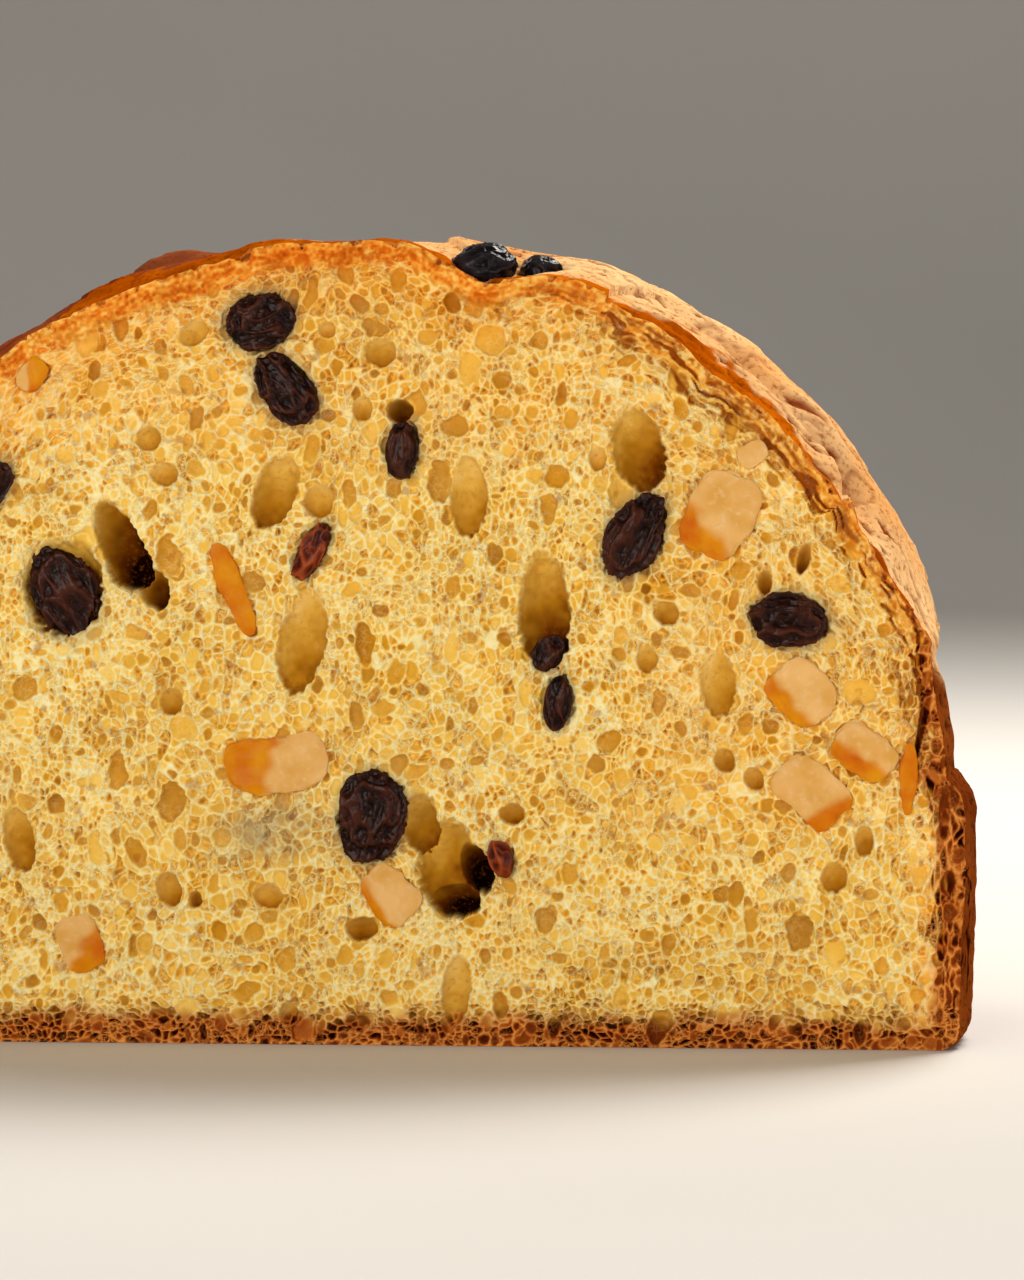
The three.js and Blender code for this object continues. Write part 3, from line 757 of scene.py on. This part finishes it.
def crumbFoam(f):
    # bubbles of the middle stand a little taller than wide, in open and in close patches
    x, z, wx, wz = f.x, f.z, f.wx, f.wz
    close = softStep(-0.25, 0.25, flatNoise(x / 17, z / 14, 40) + 0.35 * evenNoise(x, z, 5, 39)
                     + 0.35 * softStep(40, 10, z) - 0.1)
    patches = []
    for size, seed in ((crumb["cell"], 51), (crumb["fineCell"], 54)):
        first, second, number = foam(wx / size / 0.88, wz / size / 1.14, crumb["jitter"], seed)
        patches.append(((second - first) * size / 2, number))
    gap, own = (np.where(close > 0.5, fine, coarse) for coarse, fine in zip(*patches))

    # by the dome they lie along the crust, by the wall they stand upright, by the base they lie flat
    grain = crumb["domeGrain"] + 12 * softStep(-15, -50, x) - 8 * bell(x, 0, 34)
    grain = grain + 15 * softStep(38, 60, x)
    byDome = fade(0.3, 1.0, (f.fromDome + 5 * evenNoise(x, z, 6, 47)) / grain)
    byDome = byDome * softStep(50, 68, z)
    byWall = fade(0.8, 1.7, (f.fromWall + 1.5 * flatNoise(x / 3, z / 4, 59)) / crumb["wallBake"])
    byWall = fade(44, 52, z) * byWall
    byBase = fade(0.8, 1.5, (z + 1.5 * flatNoise(x / 4, z / 3, 60)) / crumb["baseBake"])
    for share, u, v, seed, width in (
            (byDome, f.bentAlong / 2.5, f.bentIn / 0.9, 52, 0.75),
            (byWall, (wx + 0.3 * flatNoise(x, z / 2, 57)) / 0.95, wz / 3.4, 55, 0.6),
            (byBase, wx / 1.6, wz + 0.3 * flatNoise(x / 2, z, 58), 56, 0.7)):
        first, second, number = foam(u, v, crumb["jitter"], seed)
        gap = np.where(share > 0.5, (second - first) * width, gap)
        own = np.where(share > 0.5, number, own)
    baked = np.maximum(byWall, byBase)

    # broken bubbles show smaller ones behind them
    inner = crumb["innerCell"]
    first, second, innerOwn = foam(wx / inner, wz / inner / 1.1, crumb["jitter"], 53)
    innerGap = (second - first) * inner / 2
    broken = softStep(0.42, 0.62, own) * (1 - 0.5 * baked)
    f.bowl = 1 - np.exp(-gap / 0.22)
    innerBowl = 1 - np.exp(-innerGap / 0.2)
    webInner = bell(innerGap, 0, 0.12) * broken * f.bowl
    depth = crumb["cellDepth"] * (0.3 + 0.9 * own) * f.bowl + 0.5 * broken * innerBowl * f.bowl
    f.depth = depth * (1 + 0.5 * baked)
    f.web = np.maximum(bell(gap, 0, crumb["webWidth"]), 0.62 * webInner)
    # painted shade: bubbles darker with depth, and again in a ring just inside each skin, beside their
    # own tone
    creviceShade = bell(gap, 0.34, 0.16) * 0.12
    shade = f.bowl * (0.26 + 0.34 * own + broken * innerBowl * (0.12 + 0.38 * innerOwn)) + creviceShade
    f.shade = shade * (1 + 0.6 * baked)


def openRoundBubbles(f):
    # round bubbles of several sizes break through the foam
    f.smooth = np.zeros(f.x.shape)
    for spacing, keep, small, large, seed, stretch in crumb["roundBubbles"]:
        ratio, radius, number = looseBubbles(f.wx / spacing, f.wz / spacing / stretch, keep,
                                             small, large, seed)
        ratio = ratio * (1 + 0.14 * evenNoise(f.x, f.z, 0.8, seed + 5))
        size = radius * spacing
        within = fade(0.88, 1.02, ratio)
        hollow = np.sqrt(np.clip(1.05 - ratio * ratio, 0, None))
        deep = size * (0.5 + 0.7 * number) * hollow
        f.depth = blend(f.depth, np.maximum(deep, 0.15 + 0.3 * f.depth), within)
        f.web = np.maximum(f.web * (1 - within), bell((ratio - 1.02) * size, 0, 0.17))
        # painted shade: each round bubble darker towards its deep middle
        f.shade = blend(f.shade, 0.3 + 0.3 * number + 0.25 * hollow * number, within)
        f.smooth = np.maximum(f.smooth, 0.75 * within)


def openLargeBubbles(f):
    # each an oval with a ragged lip and a smooth wall, painted pale as if lit at its shallow top
    # and painted dark as shade at its foot: soft is 1 at the top and 0 at the foot, and ratio is
    # the distance from its middle over its size there
    f.cavity = np.zeros(f.x.shape)
    f.sink = np.zeros(f.x.shape)
    for across, up, width, height, deep, slant in bubbles:
        near = (np.abs(f.x - across) < height + 4) & (np.abs(f.z - up) < height + 4)
        x, z, depth, before = f.x[near], f.z[near], f.depth[near], f.cavity[near]
        u, v = turnedPlace(x, z, across, up, slant)
        soft = 0.5 + 0.5 * np.clip(1.6 * v / height - 0.7 * u / width, -1, 1)
        ragged = addedNoise(1, x, z, (0.05, 3.4, 3.4, 72),
                            (0.03 + 0.07 * (1 - soft), 0.75, 0.75, 71))
        ratio = np.hypot(u / (width / 2), v / (height / 2)) * ragged
        within = fade(0.93 - 0.3 * soft, 1.0, ratio)
        hollow = np.clip(1 - ratio * ratio, 0, 1) ** (0.25 + 0.6 * soft)
        bowlDepth = deep * (0.12 * (1 - soft) + 0.72 * hollow * (1 - 0.6 * soft))
        bowlDepth = bowlDepth + 0.14 * evenNoise(x, z, 0.9, 73) * hollow
        bowlDepth = np.maximum(bowlDepth, depth * (0.4 + 0.6 * before))
        f.depth[near] = blend(depth, bowlDepth, within)
        outward = np.maximum(ratio - 1.0, 0) * (min(width, height) / 2)
        # painted highlight: a pale rim round the lip, strongest by the foot
        lip = bell(outward, 0, 0.25) * (ratio > 0.97) * (1 - before)
        f.web[near] = np.maximum(f.web[near] * (1 - within), (0.95 - 0.6 * soft) * lip)
        f.cavity[near] = np.maximum(before, within)
        # painted shade: darker towards the foot and with depth, and dark all through in narrow slits
        darkness = (1 - soft) ** 1.4 * (0.24 + 0.06 * deep) + hollow * 0.022 * deep - 0.02
        darkness = darkness + (0.45 if width < crumb["slitWidth"] else 0.03)
        darkness = addedNoise(darkness, x, z, (0.1, 2.6, 2.6, 76), (0.05, 1, 1, 77))
        f.sink[near] = np.where(within > 0.2, np.maximum(darkness, f.sink[near]), f.sink[near])


def openFruitHollows(f):
    # a ragged hollow behind each piece of fruit, and stained crumb round the raisins
    f.stain = np.zeros(f.x.shape)
    for name, values in {**raisins, **peels}.items():
        across, up, length, width, _, slant = values[:6]
        isPeel = name in peels
        fine, broad, deep = crumb["peelHollow"] if isPeel else crumb["raisinHollow"]
        near = (np.abs(f.x - across) < length + 4) & (np.abs(f.z - up) < length + 4)
        x, z = f.x[near], f.z[near]
        ragged = addedNoise(1, x, z, (fine, 0.8, 0.8, 74), (broad, 2.4, 2.4, 75))
        power = values[6] if isPeel else 2
        ratio = blockRatio(x, z, across, up, length, width, slant, power) * ragged
        within = fade(0.88, 0.97, ratio)
        f.depth[near] = blend(f.depth[near], deep, within)
        f.web[near] *= 1 - within
        if not isPeel:
            f.stain[near] = np.maximum(f.stain[near], 0.8 - 0.8 * softStep(0.95, 1.5, ratio))
    across, up, width, height = crumb["juice"]
    juice = np.exp(-((f.x - across) / width) ** 2 - ((f.z - up) / height) ** 2
                   + 0.5 * evenNoise(f.x, f.z, 2, 78))
    juice = np.clip(juice, 0, 1)
    f.stain = np.maximum(f.stain, juice)
    f.shade = f.shade + 0.45 * juice * f.bowl


def closeRim(f):
    # right under the skin the bubbles close up to grains of orange glaze
    x, z = f.x, f.z
    grains = 0.45 - 0.35 * np.exp(-f.fromDome / 0.7)
    grains = grains + 0.32 * flatNoise(f.bentAlong / 1.6, f.bentIn / 0.55, 65)
    grains = grains + 0.3 * evenNoise(x, z, 0.5, 66)
    grainy = fade(0.8, 1.3, (f.fromDome + 1.2 * flatNoise(f.along / 5, f.inward / 3, 67))
                  / crumb["glaze"])
    grainy = grainy * softStep(60, 75, z) * (1 - f.cavity) * 0.8
    f.shade = blend(f.shade, np.clip(grains, 0.05, 1), grainy)
    f.web = f.web * (1 - grainy)
    f.depth = blend(f.depth, 0.1 + 0.5 * np.clip(grains, 0, 1), grainy)

    # the right edge is torn into layers, with thin gaps along the rim, sunk and painted dark as shade
    rightEdge = softStep(22, 46, x) * softStep(48, 62, z)
    rightEdge = rightEdge * fade(3.5, 8, f.fromDome) * (1 - f.cavity)
    layer = addedNoise(0, f.bentAlong, f.bentIn, (1, 4.6, 0.5, 68), (0.4, 1.4, 0.4, 69))
    f.slot = rightEdge * softStep(0.32, 0.75, layer) * softStep(0.4, 1.0, f.fromEdge)
    f.shade = f.shade + 0.75 * f.slot
    f.depth = f.depth + 0.9 * f.slot

    # slow hills and dips of a face that was torn rather than sliced
    hills = addedNoise(0, x, z, (0.6, 13, 13, 81), (0.4, 5, 5, 82))
    f.depth = f.depth + crumb["undulation"] * (0.6 + hills)
    f.depth = f.depth + 0.1 * evenNoise(x, z, 0.5, 83) * (1 - f.cavity)

    # the face is dense by the skin and meets it at the plane of the cut
    dense = fade(0.6, 2.4, f.fromDome + 0.6 * flatNoise(f.along / 6, f.inward / 2, 84))
    dense = dense * softStep(wallHeight, wallHeight + 10, z)
    f.depth = f.depth * (1 - 0.75 * dense)
    f.depth = f.depth * softStep(0.0, 0.9, f.fromEdge)


def bakeEdges(f):
    # orange glaze under the dome's skin, burnt streaks along it with painted shade in the torn gaps,
    # brown bands by the wall and base
    x, z, fromDome = f.x, f.z, f.fromDome
    onRight = softStep(20, 52, x + 6 * evenNoise(x, z, 12, 94))
    f.glaze = fade(crumb["glaze"] * 0.55, crumb["glaze"] * 1.5,
                   addedNoise(fromDome, f.along, f.inward, (1.1, 9, 3, 85), (0.5, 2, 1, 86)))
    f.glaze = f.glaze * softStep(wallHeight + 6, creaseHeight + 8, z)
    f.glaze = f.glaze * (1 - 0.45 * onRight * softStep(0.5, 1.2, fromDome))
    streak = addedNoise(0, f.bentAlong, f.bentIn, (1, 7.5, 0.9, 95), (0.6, 2.2, 0.5, 96),
                        (0.5, 14, 3, 97))
    scorch = softStep(-0.1, 0.75, streak) * fade(1.5, 9, fromDome) * softStep(40, 60, z)
    scorch = scorch * (0.35 + 0.65 * onRight)
    bake = crumb["wallBake"]
    band = bake * (1 - 0.55 * softStep(43, 50, z)) * fade(54, 92, z) + 0.01
    fromSide = np.minimum(f.fromWall, fromDome)
    toWall = addedNoise(fromSide, x, z, (1, 1.6, 3.4, 87), (0.9, 0.8, 1.1, 88))
    toBase = addedNoise(z, x, z, (1, 3.2, 1.8, 89), (0.6, 1, 0.9, 90))
    f.brown = np.maximum(fade(0.7, 1.2, toWall / band), fade(0.45, 1.2, toBase / crumb["baseBake"]))
    tinged = fade(1.0, 2.4, fromSide / bake) * fade(52, 72, z)
    warm = fade(5, 18, fromDome) * softStep(50, 75, z) * (1 - 0.6 * onRight)
    warm = np.maximum(warm, tinged * (0.7 + 0.5 * flatNoise(x / 1.2, z / 3, 80)))
    f.warm = np.maximum(warm, 0.4 * np.maximum(softStep(32, 56, x) * softStep(26, 48, z),
                                               softStep(88, 106, z)))
    shown = 0.75 + 0.25 * evenNoise(x, z, 0.7, 91)
    shade = addedNoise(f.shade, x, z, (0.1, 11, 11, 92), (0.08, 3.5, 3.5, 93))
    # the skins stay pale, out of the painted shade, in most places
    f.shade = np.clip(shade * (1 - f.web * shown), 0, 1)
    # the burnt streaks and the painted shade of the torn gaps share one mask
    f.scorch = np.maximum(scorch * (0.25 + 0.75 * softStep(0.05, 0.4, f.shade)), f.slot)


def crumbField(x, z):
    # depth of the cut face behind its plane, and the numbers its material reads
    f = measureFace(x, z)
    for step in (crumbFoam, openRoundBubbles, openLargeBubbles, openFruitHollows, closeRim, bakeEdges):
        step(f)
    return f.depth, {
        "shade": f.shade, "cavity": f.cavity, "smooth": np.maximum(f.smooth, f.cavity),
        "sink": np.clip(f.sink, 0, 1), "glaze": f.glaze, "warm": f.warm, "brown": f.brown,
        "stain": f.stain, "scorch": f.scorch,
    }


def crumbPieces():
    # the face on a square grid: points past the cut edge are drawn in to it, strips share columns
    step = crumb["step"]
    far = rimReach.max() + step
    count = int(2 * far / step) + 2
    xs = np.linspace(-far, far, count)
    zs = np.arange(0, domeTop + 3 + step, step)
    pieces = []
    bounds = np.linspace(0, count - 1, crumb["strips"] + 1).astype(int)
    for number in range(crumb["strips"]):
        part = xs[bounds[number]:bounds[number + 1] + 1]
        x, z = np.meshgrid(part, zs)
        rows, width = x.shape
        x, z = x.ravel(), z.ravel()
        angle, reach = aroundCut(x, z)
        limit = rimAt(angle)
        outside = reach > limit - step * 0.3
        scale = np.where(outside, limit / np.maximum(reach, 1e-6), 1)
        inside = (~outside).reshape(rows, width)
        kept = inside[:-1, :-1] | inside[:-1, 1:] | inside[1:, :-1] | inside[1:, 1:]
        x = x * scale
        z = np.maximum(domeFoot + (z - domeFoot) * scale, 0)
        depth, attributes = crumbField(x, z)
        depth = np.where(outside, 0, depth)
        faces = gridFaces(rows, width, False).reshape(rows - 1, width - 1, 4)[kept]
        used = np.unique(faces)
        place = np.zeros(rows * width, dtype=np.int64)
        place[used] = np.arange(len(used))
        points = np.stack((x, cutY + depth, z), axis=1)[used]
        values = {key: value[used] for key, value in attributes.items()}
        pieces.append(meshObject(f"crumb_{number + 1:02d}", points, (place[faces],), values,
                                 "loaf"))
    return pieces


crumbFaces = crumbPieces()
print("stage: crumb face")


# the fruit's own surfaces

def ballGrid(rings, spokes):
    # directions from a middle: rings from pole to pole, and spokes round them, poles once each
    tilt = np.linspace(0, np.pi, rings + 1)[1:-1]
    turn = np.linspace(0, 2 * np.pi, spokes, endpoint=False)
    body = np.stack((np.sin(tilt)[:, None] * np.cos(turn), np.sin(tilt)[:, None] * np.sin(turn),
                     np.cos(tilt)[:, None] + 0 * turn), axis=-1).reshape(-1, 3)
    directions = np.vstack((body, ((0, 0, 1), (0, 0, -1))))
    rows = rings - 1
    quads = gridFaces(rows, spokes, True)[:, ::-1]
    c = np.arange(spokes)
    d = (c + 1) % spokes
    north = np.stack((np.full(spokes, rows * spokes), c, d), axis=1)
    foot = (rows - 1) * spokes
    south = np.stack((np.full(spokes, rows * spokes + 1), foot + d, foot + c), axis=1)
    return directions.astype(float), quads, np.vstack((north, south))


raisinLook = {
    "rings": 70, "spokes": 88,
    "foldSize": 2.0,     # distance between folds
    # heights over the radius: deep folds, finer folds, grain, swells of the whole
    "fold": 0.13, "wrinkle": 0.05, "grain": 0.01, "swell": 0.2,
    "bulge": 1.6,        # how far a raisin stands out of the cut
}


def raisinPiece(name, middle, axes, slant, seed, flatFront):
    # a shrunken oval: thin crests, where bent noise crosses zero, stand over broad valleys
    directions, quads, caps = ballGrid(raisinLook["rings"], raisinLook["spokes"])
    radii = np.array(axes) / 2
    shape = directions * radii
    u, v, w = (shape / raisinLook["foldSize"]).T
    shift = seed * 3.7
    bend = solidNoise(u * 0.45 + shift, v * 0.45, w * 0.45, 101)
    fold = np.abs(solidNoise(u * 0.5 + shift + 0.7 * bend, v, w * 1.1 + 0.7 * bend, 102))
    small = np.abs(solidNoise(u * 1.3 + shift, v * 2.1 + bend, w * 2.1, 103))
    tiny = solidNoise(u * 5 + shift, v * 6, w * 6, 104)
    crest = np.clip(1 - fold / 0.38, 0, 1) ** 0.8
    crinkle = np.clip(1 - small / 0.34, 0, 1)
    relief = raisinLook["fold"] * (crest - 0.6) + raisinLook["wrinkle"] * crinkle
    relief = relief + raisinLook["grain"] * tiny
    lumps = raisinLook["swell"] * solidNoise(u * 0.3 + shift, v * 0.3, w * 0.3, 105)
    points = shape * (1 + relief + lumps)[:, None]
    if flatFront:
        front = -directions[:, 1] * radii[1]
        raised = raisinLook["bulge"] * np.clip(front / radii[1], 0, 1) ** 0.5
        points[:, 1] = np.where(front > 0, -raised * (1 + 0.4 * lumps)
                                - relief * 0.75 * radii[1] * np.clip(front, 0, 1), points[:, 1])
    # painted highlight: this number lightens the crests in the finish
    values = {"ridge": np.clip(0.75 * crest ** 2 + 0.45 * crinkle ** 2, 0, 1)}
    return meshObject(name + "_skin", turnPoints(points, slant) + np.array(middle), (quads, caps),
                      values, name)


raisinPieces = {}
for seed, (name, values) in enumerate(raisins.items()):
    across, up, length, width, deep, slant, setback = values[:7]
    raisinPieces[name] = raisinPiece(name, (across, cutY + setback, up), (length, deep, width),
                                     slant, seed, True)
for seed, (name, values) in enumerate(topRaisins.items()):
    across, behind, up, length, deep, height = values
    raisinPieces[name] = raisinPiece(name, (across, cutY + behind, up), (length, deep, height),
                                     0, seed + 20, False)
print("stage: raisins")

peelLook = {
    "rings": 60, "spokes": 80,
    "bulge": 0.25,          # how far a block stands out of the cut
    # heights of slow swells, dimples and fine grain, and the share of them on the cut side
    "uneven": 0.8, "dimple": 0.36, "grain": 0.07, "frontRelief": 0.35,
    "setback": 0.1,         # of a block's middle behind the cut
    "zestWaver": 0.18,      # how uneven the edge of the zest is
    "flesh": paint(220, 161, 74), "fleshLight": paint(238, 186, 114), "sugar": paint(240, 202, 146),
    "zest": paint(204, 94, 0), "zestLight": paint(224, 146, 8),
}


def peelPiece(name, values, seed):
    # a block with soft corners: a ball pushed out to |x|^n + |y|^n + |z|^n = 1, then made uneven
    across, up, length, width, deep, slant, squareness, zestSide, zestShare = values
    directions, quads, caps = ballGrid(peelLook["rings"], peelLook["spokes"])
    power = (np.abs(directions) ** squareness).sum(axis=1) ** (-1 / squareness)
    block = directions * power[:, None]
    shape = block * (np.array((length, deep, width)) / 2)
    x, y, z = shape.T
    shift = seed * 5.3

    def lumps(size, noiseSeed):
        return solidNoise(x / size + shift, y / size, z / size, noiseSeed)

    rough = peelLook["uneven"] * lumps(4.2, 111) + peelLook["dimple"] * lumps(1.2, 112)
    rough = rough + peelLook["grain"] * lumps(0.45, 113)
    shape = shape + directions * rough[:, None]
    front = shape[:, 1] < 0
    shape[:, 1] = np.where(front, shape[:, 1] * peelLook["bulge"] / (deep / 2)
                           + peelLook["frontRelief"] * rough, shape[:, 1])
    turned = turnPoints(shape, slant)
    c, s = cosSin(zestSide)
    toSide = (turned[:, 0] * c + turned[:, 2] * s) / ((length + width) / 4)
    edge = 1 - 2 * zestShare + peelLook["zestWaver"] * lumps(2.2, 114)
    zest = softStep(edge - 0.12, edge + 0.2, toSide) if zestShare > 0 else np.zeros(x.shape)
    place = turned + np.array((across, cutY + peelLook["setback"], up))
    return meshObject(name + "_block", place, (quads, caps), {"zest": zest}, name)


peelPieces = [peelPiece(name, values, seed) for seed, (name, values) in enumerate(peels.items())]
print("stage: peel")


# finishes

crumbColours = {
    # from the skins' edges down to the deepest small bubbles: painted shade darkening with depth
    "foam": ((0.0, paint(255, 241, 182)), (0.14, paint(253, 221, 132)), (0.34, paint(239, 187, 70)),
             (0.6, paint(207, 146, 30)), (1.0, paint(140, 78, 4))),
    # the same in the glazed edge of the dome
    "glazed": ((0.0, paint(255, 208, 112)), (0.25, paint(246, 162, 58)), (0.55, paint(222, 110, 22)),
               (1.0, paint(160, 60, 4))),
    # the same where it is baked
    "baked": ((0.0, paint(230, 150, 70)), (0.15, paint(197, 111, 40)), (0.4, paint(147, 67, 20)),
              (0.7, paint(68, 18, 4)), (1.0, paint(24, 4, 1))),
    # from the top of a large bubble, painted pale as if lit, to its depth, painted dark as shade
    "cavity": ((0.0, paint(244, 204, 118)), (0.25, paint(221, 170, 68)), (0.5, paint(184, 125, 24)),
               (0.75, paint(120, 60, 3)), (1.0, paint(26, 5, 1))),
    # the burnt streaks' colour also paints shade into the torn gaps
    "pale": paint(252, 210, 112), "scorch": paint(150, 72, 14),
    "thread": paint(255, 242, 186), "bakedThread": paint(238, 160, 76), "warm": paint(255, 206, 140),
    "bake": paint(182, 104, 38), "fleck": paint(168, 84, 20), "grey": paint(176, 156, 116),
}


def crumbMaterial():
    # cream skins over golden bubbles, ochre inside the large ones, baked at the edges
    c = crumbColours
    material, tree = newMaterial("crumbFinish", Roughness=0.7, Specular_IOR_Level=0.0)
    specks, blotches = speckleNode(tree, 1300.0, 70.0)
    shade = attributeNode(tree, "shade")
    whole = mathNode(tree, "SUBTRACT", 1.0, attributeNode(tree, "smooth"))
    threads = mathNode(tree, "MULTIPLY", threadNode(tree), whole)
    flecks = mathNode(tree, "MULTIPLY_ADD", speckleNode(tree, 1300.0, 360.0)[1], 4.0, -3.1, True)
    hole = coats(tree, rampNode(tree, attributeNode(tree, "sink"), c["cavity"]),
                 (scaledNode(tree, specks, 0.5), c["bake"]))
    baked = coats(tree, rampNode(tree, shade, c["baked"]),
                  (scaledNode(tree, threads, 0.62), c["bakedThread"]))
    colour = coats(
        tree, rampNode(tree, shade, c["foam"]),
        (scaledNode(tree, threads, 0.7), c["thread"]),
        (scaledNode(tree, blotches, 0.25), c["pale"]),
        (scaledNode(tree, attributeNode(tree, "warm"), 0.5), c["warm"], "MULTIPLY"),
        (scaledNode(tree, attributeNode(tree, "stain"), 0.6), c["grey"]),
        (scaledNode(tree, flecks, 0.55), c["fleck"]),
        (attributeNode(tree, "cavity"), hole),
        (attributeNode(tree, "glaze"), rampNode(tree, shade, c["glazed"])),
        # burnt streaks, and painted shade in the torn gaps
        (scaledNode(tree, attributeNode(tree, "scorch"), 0.85), c["scorch"]),
        (attributeNode(tree, "brown"), baked))
    return finishMaterial(material, colour, threads, 0.6, 0.0003)


def crustMaterial():
    # sandy, blotched dome and a dark brown wall, with painted shade in pits and creases
    c = crust
    material, tree = newMaterial("crustFinish", Roughness=c["roughness"], Specular_IOR_Level=0.0)
    specks, blotches = speckleNode(tree, 1100.0, 60.0)
    grain = scaledNode(tree, specks, 0.85)
    pitShade = attributeNode(tree, "pitShade")
    # painted shade of the left side by the cut
    ruddyShade = coats(tree, c["ruddyShade"], (blotches, c["ruddyShadeDark"]))
    wall = coats(tree, c["brown"], (blotches, c["brownLight"]), (grain, c["brownDark"]),
                 (pitShade, c["brownDark"]))
    groove = coats(tree, c["groove"], (blotches, c["grooveDark"]), (grain, c["grooveDark"]))
    colour = coats(tree, c["tan"], (blotches, c["tanLight"]), (grain, c["tanDark"]),
                   (pitShade, c["redBrown"]), (attributeNode(tree, "ruddyShade"), ruddyShade),
                   (attributeNode(tree, "wall"), wall), (attributeNode(tree, "rim"), groove))
    return finishMaterial(material, colour, specks, 0.6, 0.0004)


def raisinMaterial(name, body, blotch, ridge):
    # near-black skin with glossy crests, painted lighter as a highlight
    material, tree = newMaterial(name, Roughness=0.12, Specular_IOR_Level=0.09)
    specks, blotches = speckleNode(tree, 1100.0, 260.0)
    colour = coats(tree, body, (blotches, blotch), (attributeNode(tree, "ridge"), ridge))
    return finishMaterial(material, colour, specks, 0.3, 0.0003)


def peelMaterial():
    # pale flesh and orange zest, both letting some light through
    material, tree = newMaterial("peelFinish", Roughness=0.3, Specular_IOR_Level=0.07,
                                 Subsurface_Weight=0.2, Subsurface_Scale=0.0012,
                                 Subsurface_Radius=(1.0, 0.7, 0.3))
    c = peelLook
    specks, blotches = speckleNode(tree, 800.0, 200.0)
    zest = coats(tree, c["zest"], (blotches, c["zestLight"]))
    colour = coats(tree, c["flesh"], (blotches, c["fleshLight"]),
                   (scaledNode(tree, specks, 0.4), c["sugar"]), (attributeNode(tree, "zest"), zest))
    return finishMaterial(material, colour, specks, 0.3, 0.0003)


def dress(pieces, material):
    # gives every piece in a list its finish
    for piece in pieces:
        piece.data.materials.clear()
        piece.data.materials.append(material)


# each finish: body, blotches, and the painted highlight of the crests
darkRaisin = raisinMaterial("raisinFinish", paint(9, 2, 1), paint(32, 9, 4), paint(76, 35, 19))
redRaisin = raisinMaterial("redRaisinFinish", paint(44, 7, 2), paint(92, 26, 5), paint(170, 74, 28))
blackRaisin = raisinMaterial("blackRaisinFinish", paint(10, 7, 8), paint(20, 14, 15), paint(48, 40, 42))
dress(crumbFaces, crumbMaterial())
dress(crustPieces, crustMaterial())
dress([raisinPieces[name] for name in topRaisins], blackRaisin)
dress([raisinPieces[name] for name, values in raisins.items() if values[-1] < 0.5], darkRaisin)
dress([raisinPieces[name] for name, values in raisins.items() if values[-1] >= 0.5], redRaisin)
dress(peelPieces, peelMaterial())
print("stage: finishes")


# floor, light and camera

studio = {
    "floor": paint(224, 218, 210),
    # the floor's near edge, where it starts to bend up, how widely, its top edge and half width
    "floorSizes": (-2600.0, 1500.0, 500.0, 3200.0, 3200.0),
    "target": (22.5, cutY, 67.0), "distance": 800.0, "azimuth": 4.0, "elevation": 3.0,
    "lens": 91.5, "sensor": 24.0,
    "world": 0.22,
    "lit": (0, 0, 60),      # the point that every light faces
    # position, size, power, colour
    "lights": (
        ((-420, -1050, 230), 620, 6.0, (1.0, 0.99, 0.96)),
        ((560, -900, 200), 520, 2.2, (1.0, 0.99, 0.97)),
        ((360, 420, 820), 460, 11.5, (1.0, 0.97, 0.92)),
        ((-640, 620, 520), 520, 3.0, (1.0, 0.98, 0.95)),
    ),
}


def floorPiece():
    # a wide floor that curves up into a backdrop: a profile carried sideways
    near, start, radius, top, half = studio["floorSizes"]
    bend = np.linspace(0, np.pi / 2, 24)
    depthLine = np.concatenate(((near,), start + radius * np.sin(bend), (start + radius,)))
    heightLine = np.concatenate(((0.0,), radius - radius * np.cos(bend), (top,)))
    y, x = np.meshgrid(depthLine, np.linspace(-half, half, 3), indexing="ij")
    z = np.repeat(heightLine[:, None], 3, axis=1)
    points = np.stack((x, y, z - 0.05), axis=-1).reshape(-1, 3)
    mesh = bpy.data.meshes.new("floor")
    mesh.from_pydata((points * mm).tolist(), [], gridFaces(len(depthLine), 3, False).tolist())
    for face in mesh.polygons:
        face.use_smooth = True
    floor = bpy.data.objects.new("floor", mesh)
    bpy.context.scene.collection.objects.link(floor)
    material, tree = newMaterial("floorFinish", Roughness=0.9)
    darker = tuple(v * 0.97 for v in studio["floor"])
    colour = coats(tree, studio["floor"], (speckleNode(tree, 60.0, 3.0)[1], darker))
    tree.links.new(colour, tree.nodes["Principled BSDF"].inputs["Base Color"])
    dress([floor], material)


def aim(thing, place, target):
    # puts a light or camera at a place, facing a target, both in millimetres
    start, end = Vector(place) * mm, Vector(target) * mm
    thing.location = start
    thing.rotation_euler = (end - start).to_track_quat("-Z", "Y").to_euler()


def lightsAndCamera():
    # soft lights from the table, and the camera on a sphere round its target
    scene = bpy.context.scene
    world = bpy.data.worlds.new("softRoom")
    world.use_nodes = True
    world.node_tree.nodes["Background"].inputs["Color"].default_value = (1.0, 0.99, 0.97, 1)
    world.node_tree.nodes["Background"].inputs["Strength"].default_value = studio["world"]
    scene.world = world
    for number, (place, size, power, colour) in enumerate(studio["lights"]):
        lamp = bpy.data.lights.new(f"soft_{number + 1}", "AREA")
        lamp.size = size * mm
        lamp.energy = power
        lamp.color = colour
        holder = bpy.data.objects.new(lamp.name, lamp)
        scene.collection.objects.link(holder)
        aim(holder, place, studio["lit"])
    camera = bpy.data.objects.new("camera", bpy.data.cameras.new("camera"))
    scene.collection.objects.link(camera)
    camera.data.sensor_fit = "VERTICAL"
    camera.data.sensor_height = studio["sensor"]
    camera.data.lens = studio["lens"]
    azimuth, elevation = np.radians(studio["azimuth"]), np.radians(studio["elevation"])
    away = np.array((np.sin(azimuth) * np.cos(elevation), -np.cos(azimuth) * np.cos(elevation),
                     np.sin(elevation)))
    aim(camera, np.array(studio["target"]) + studio["distance"] * away, studio["target"])
    scene.camera = camera
    scene.view_settings.view_transform = "Standard"


floorPiece()
lightsAndCamera()
print("stage: floor, light and camera")
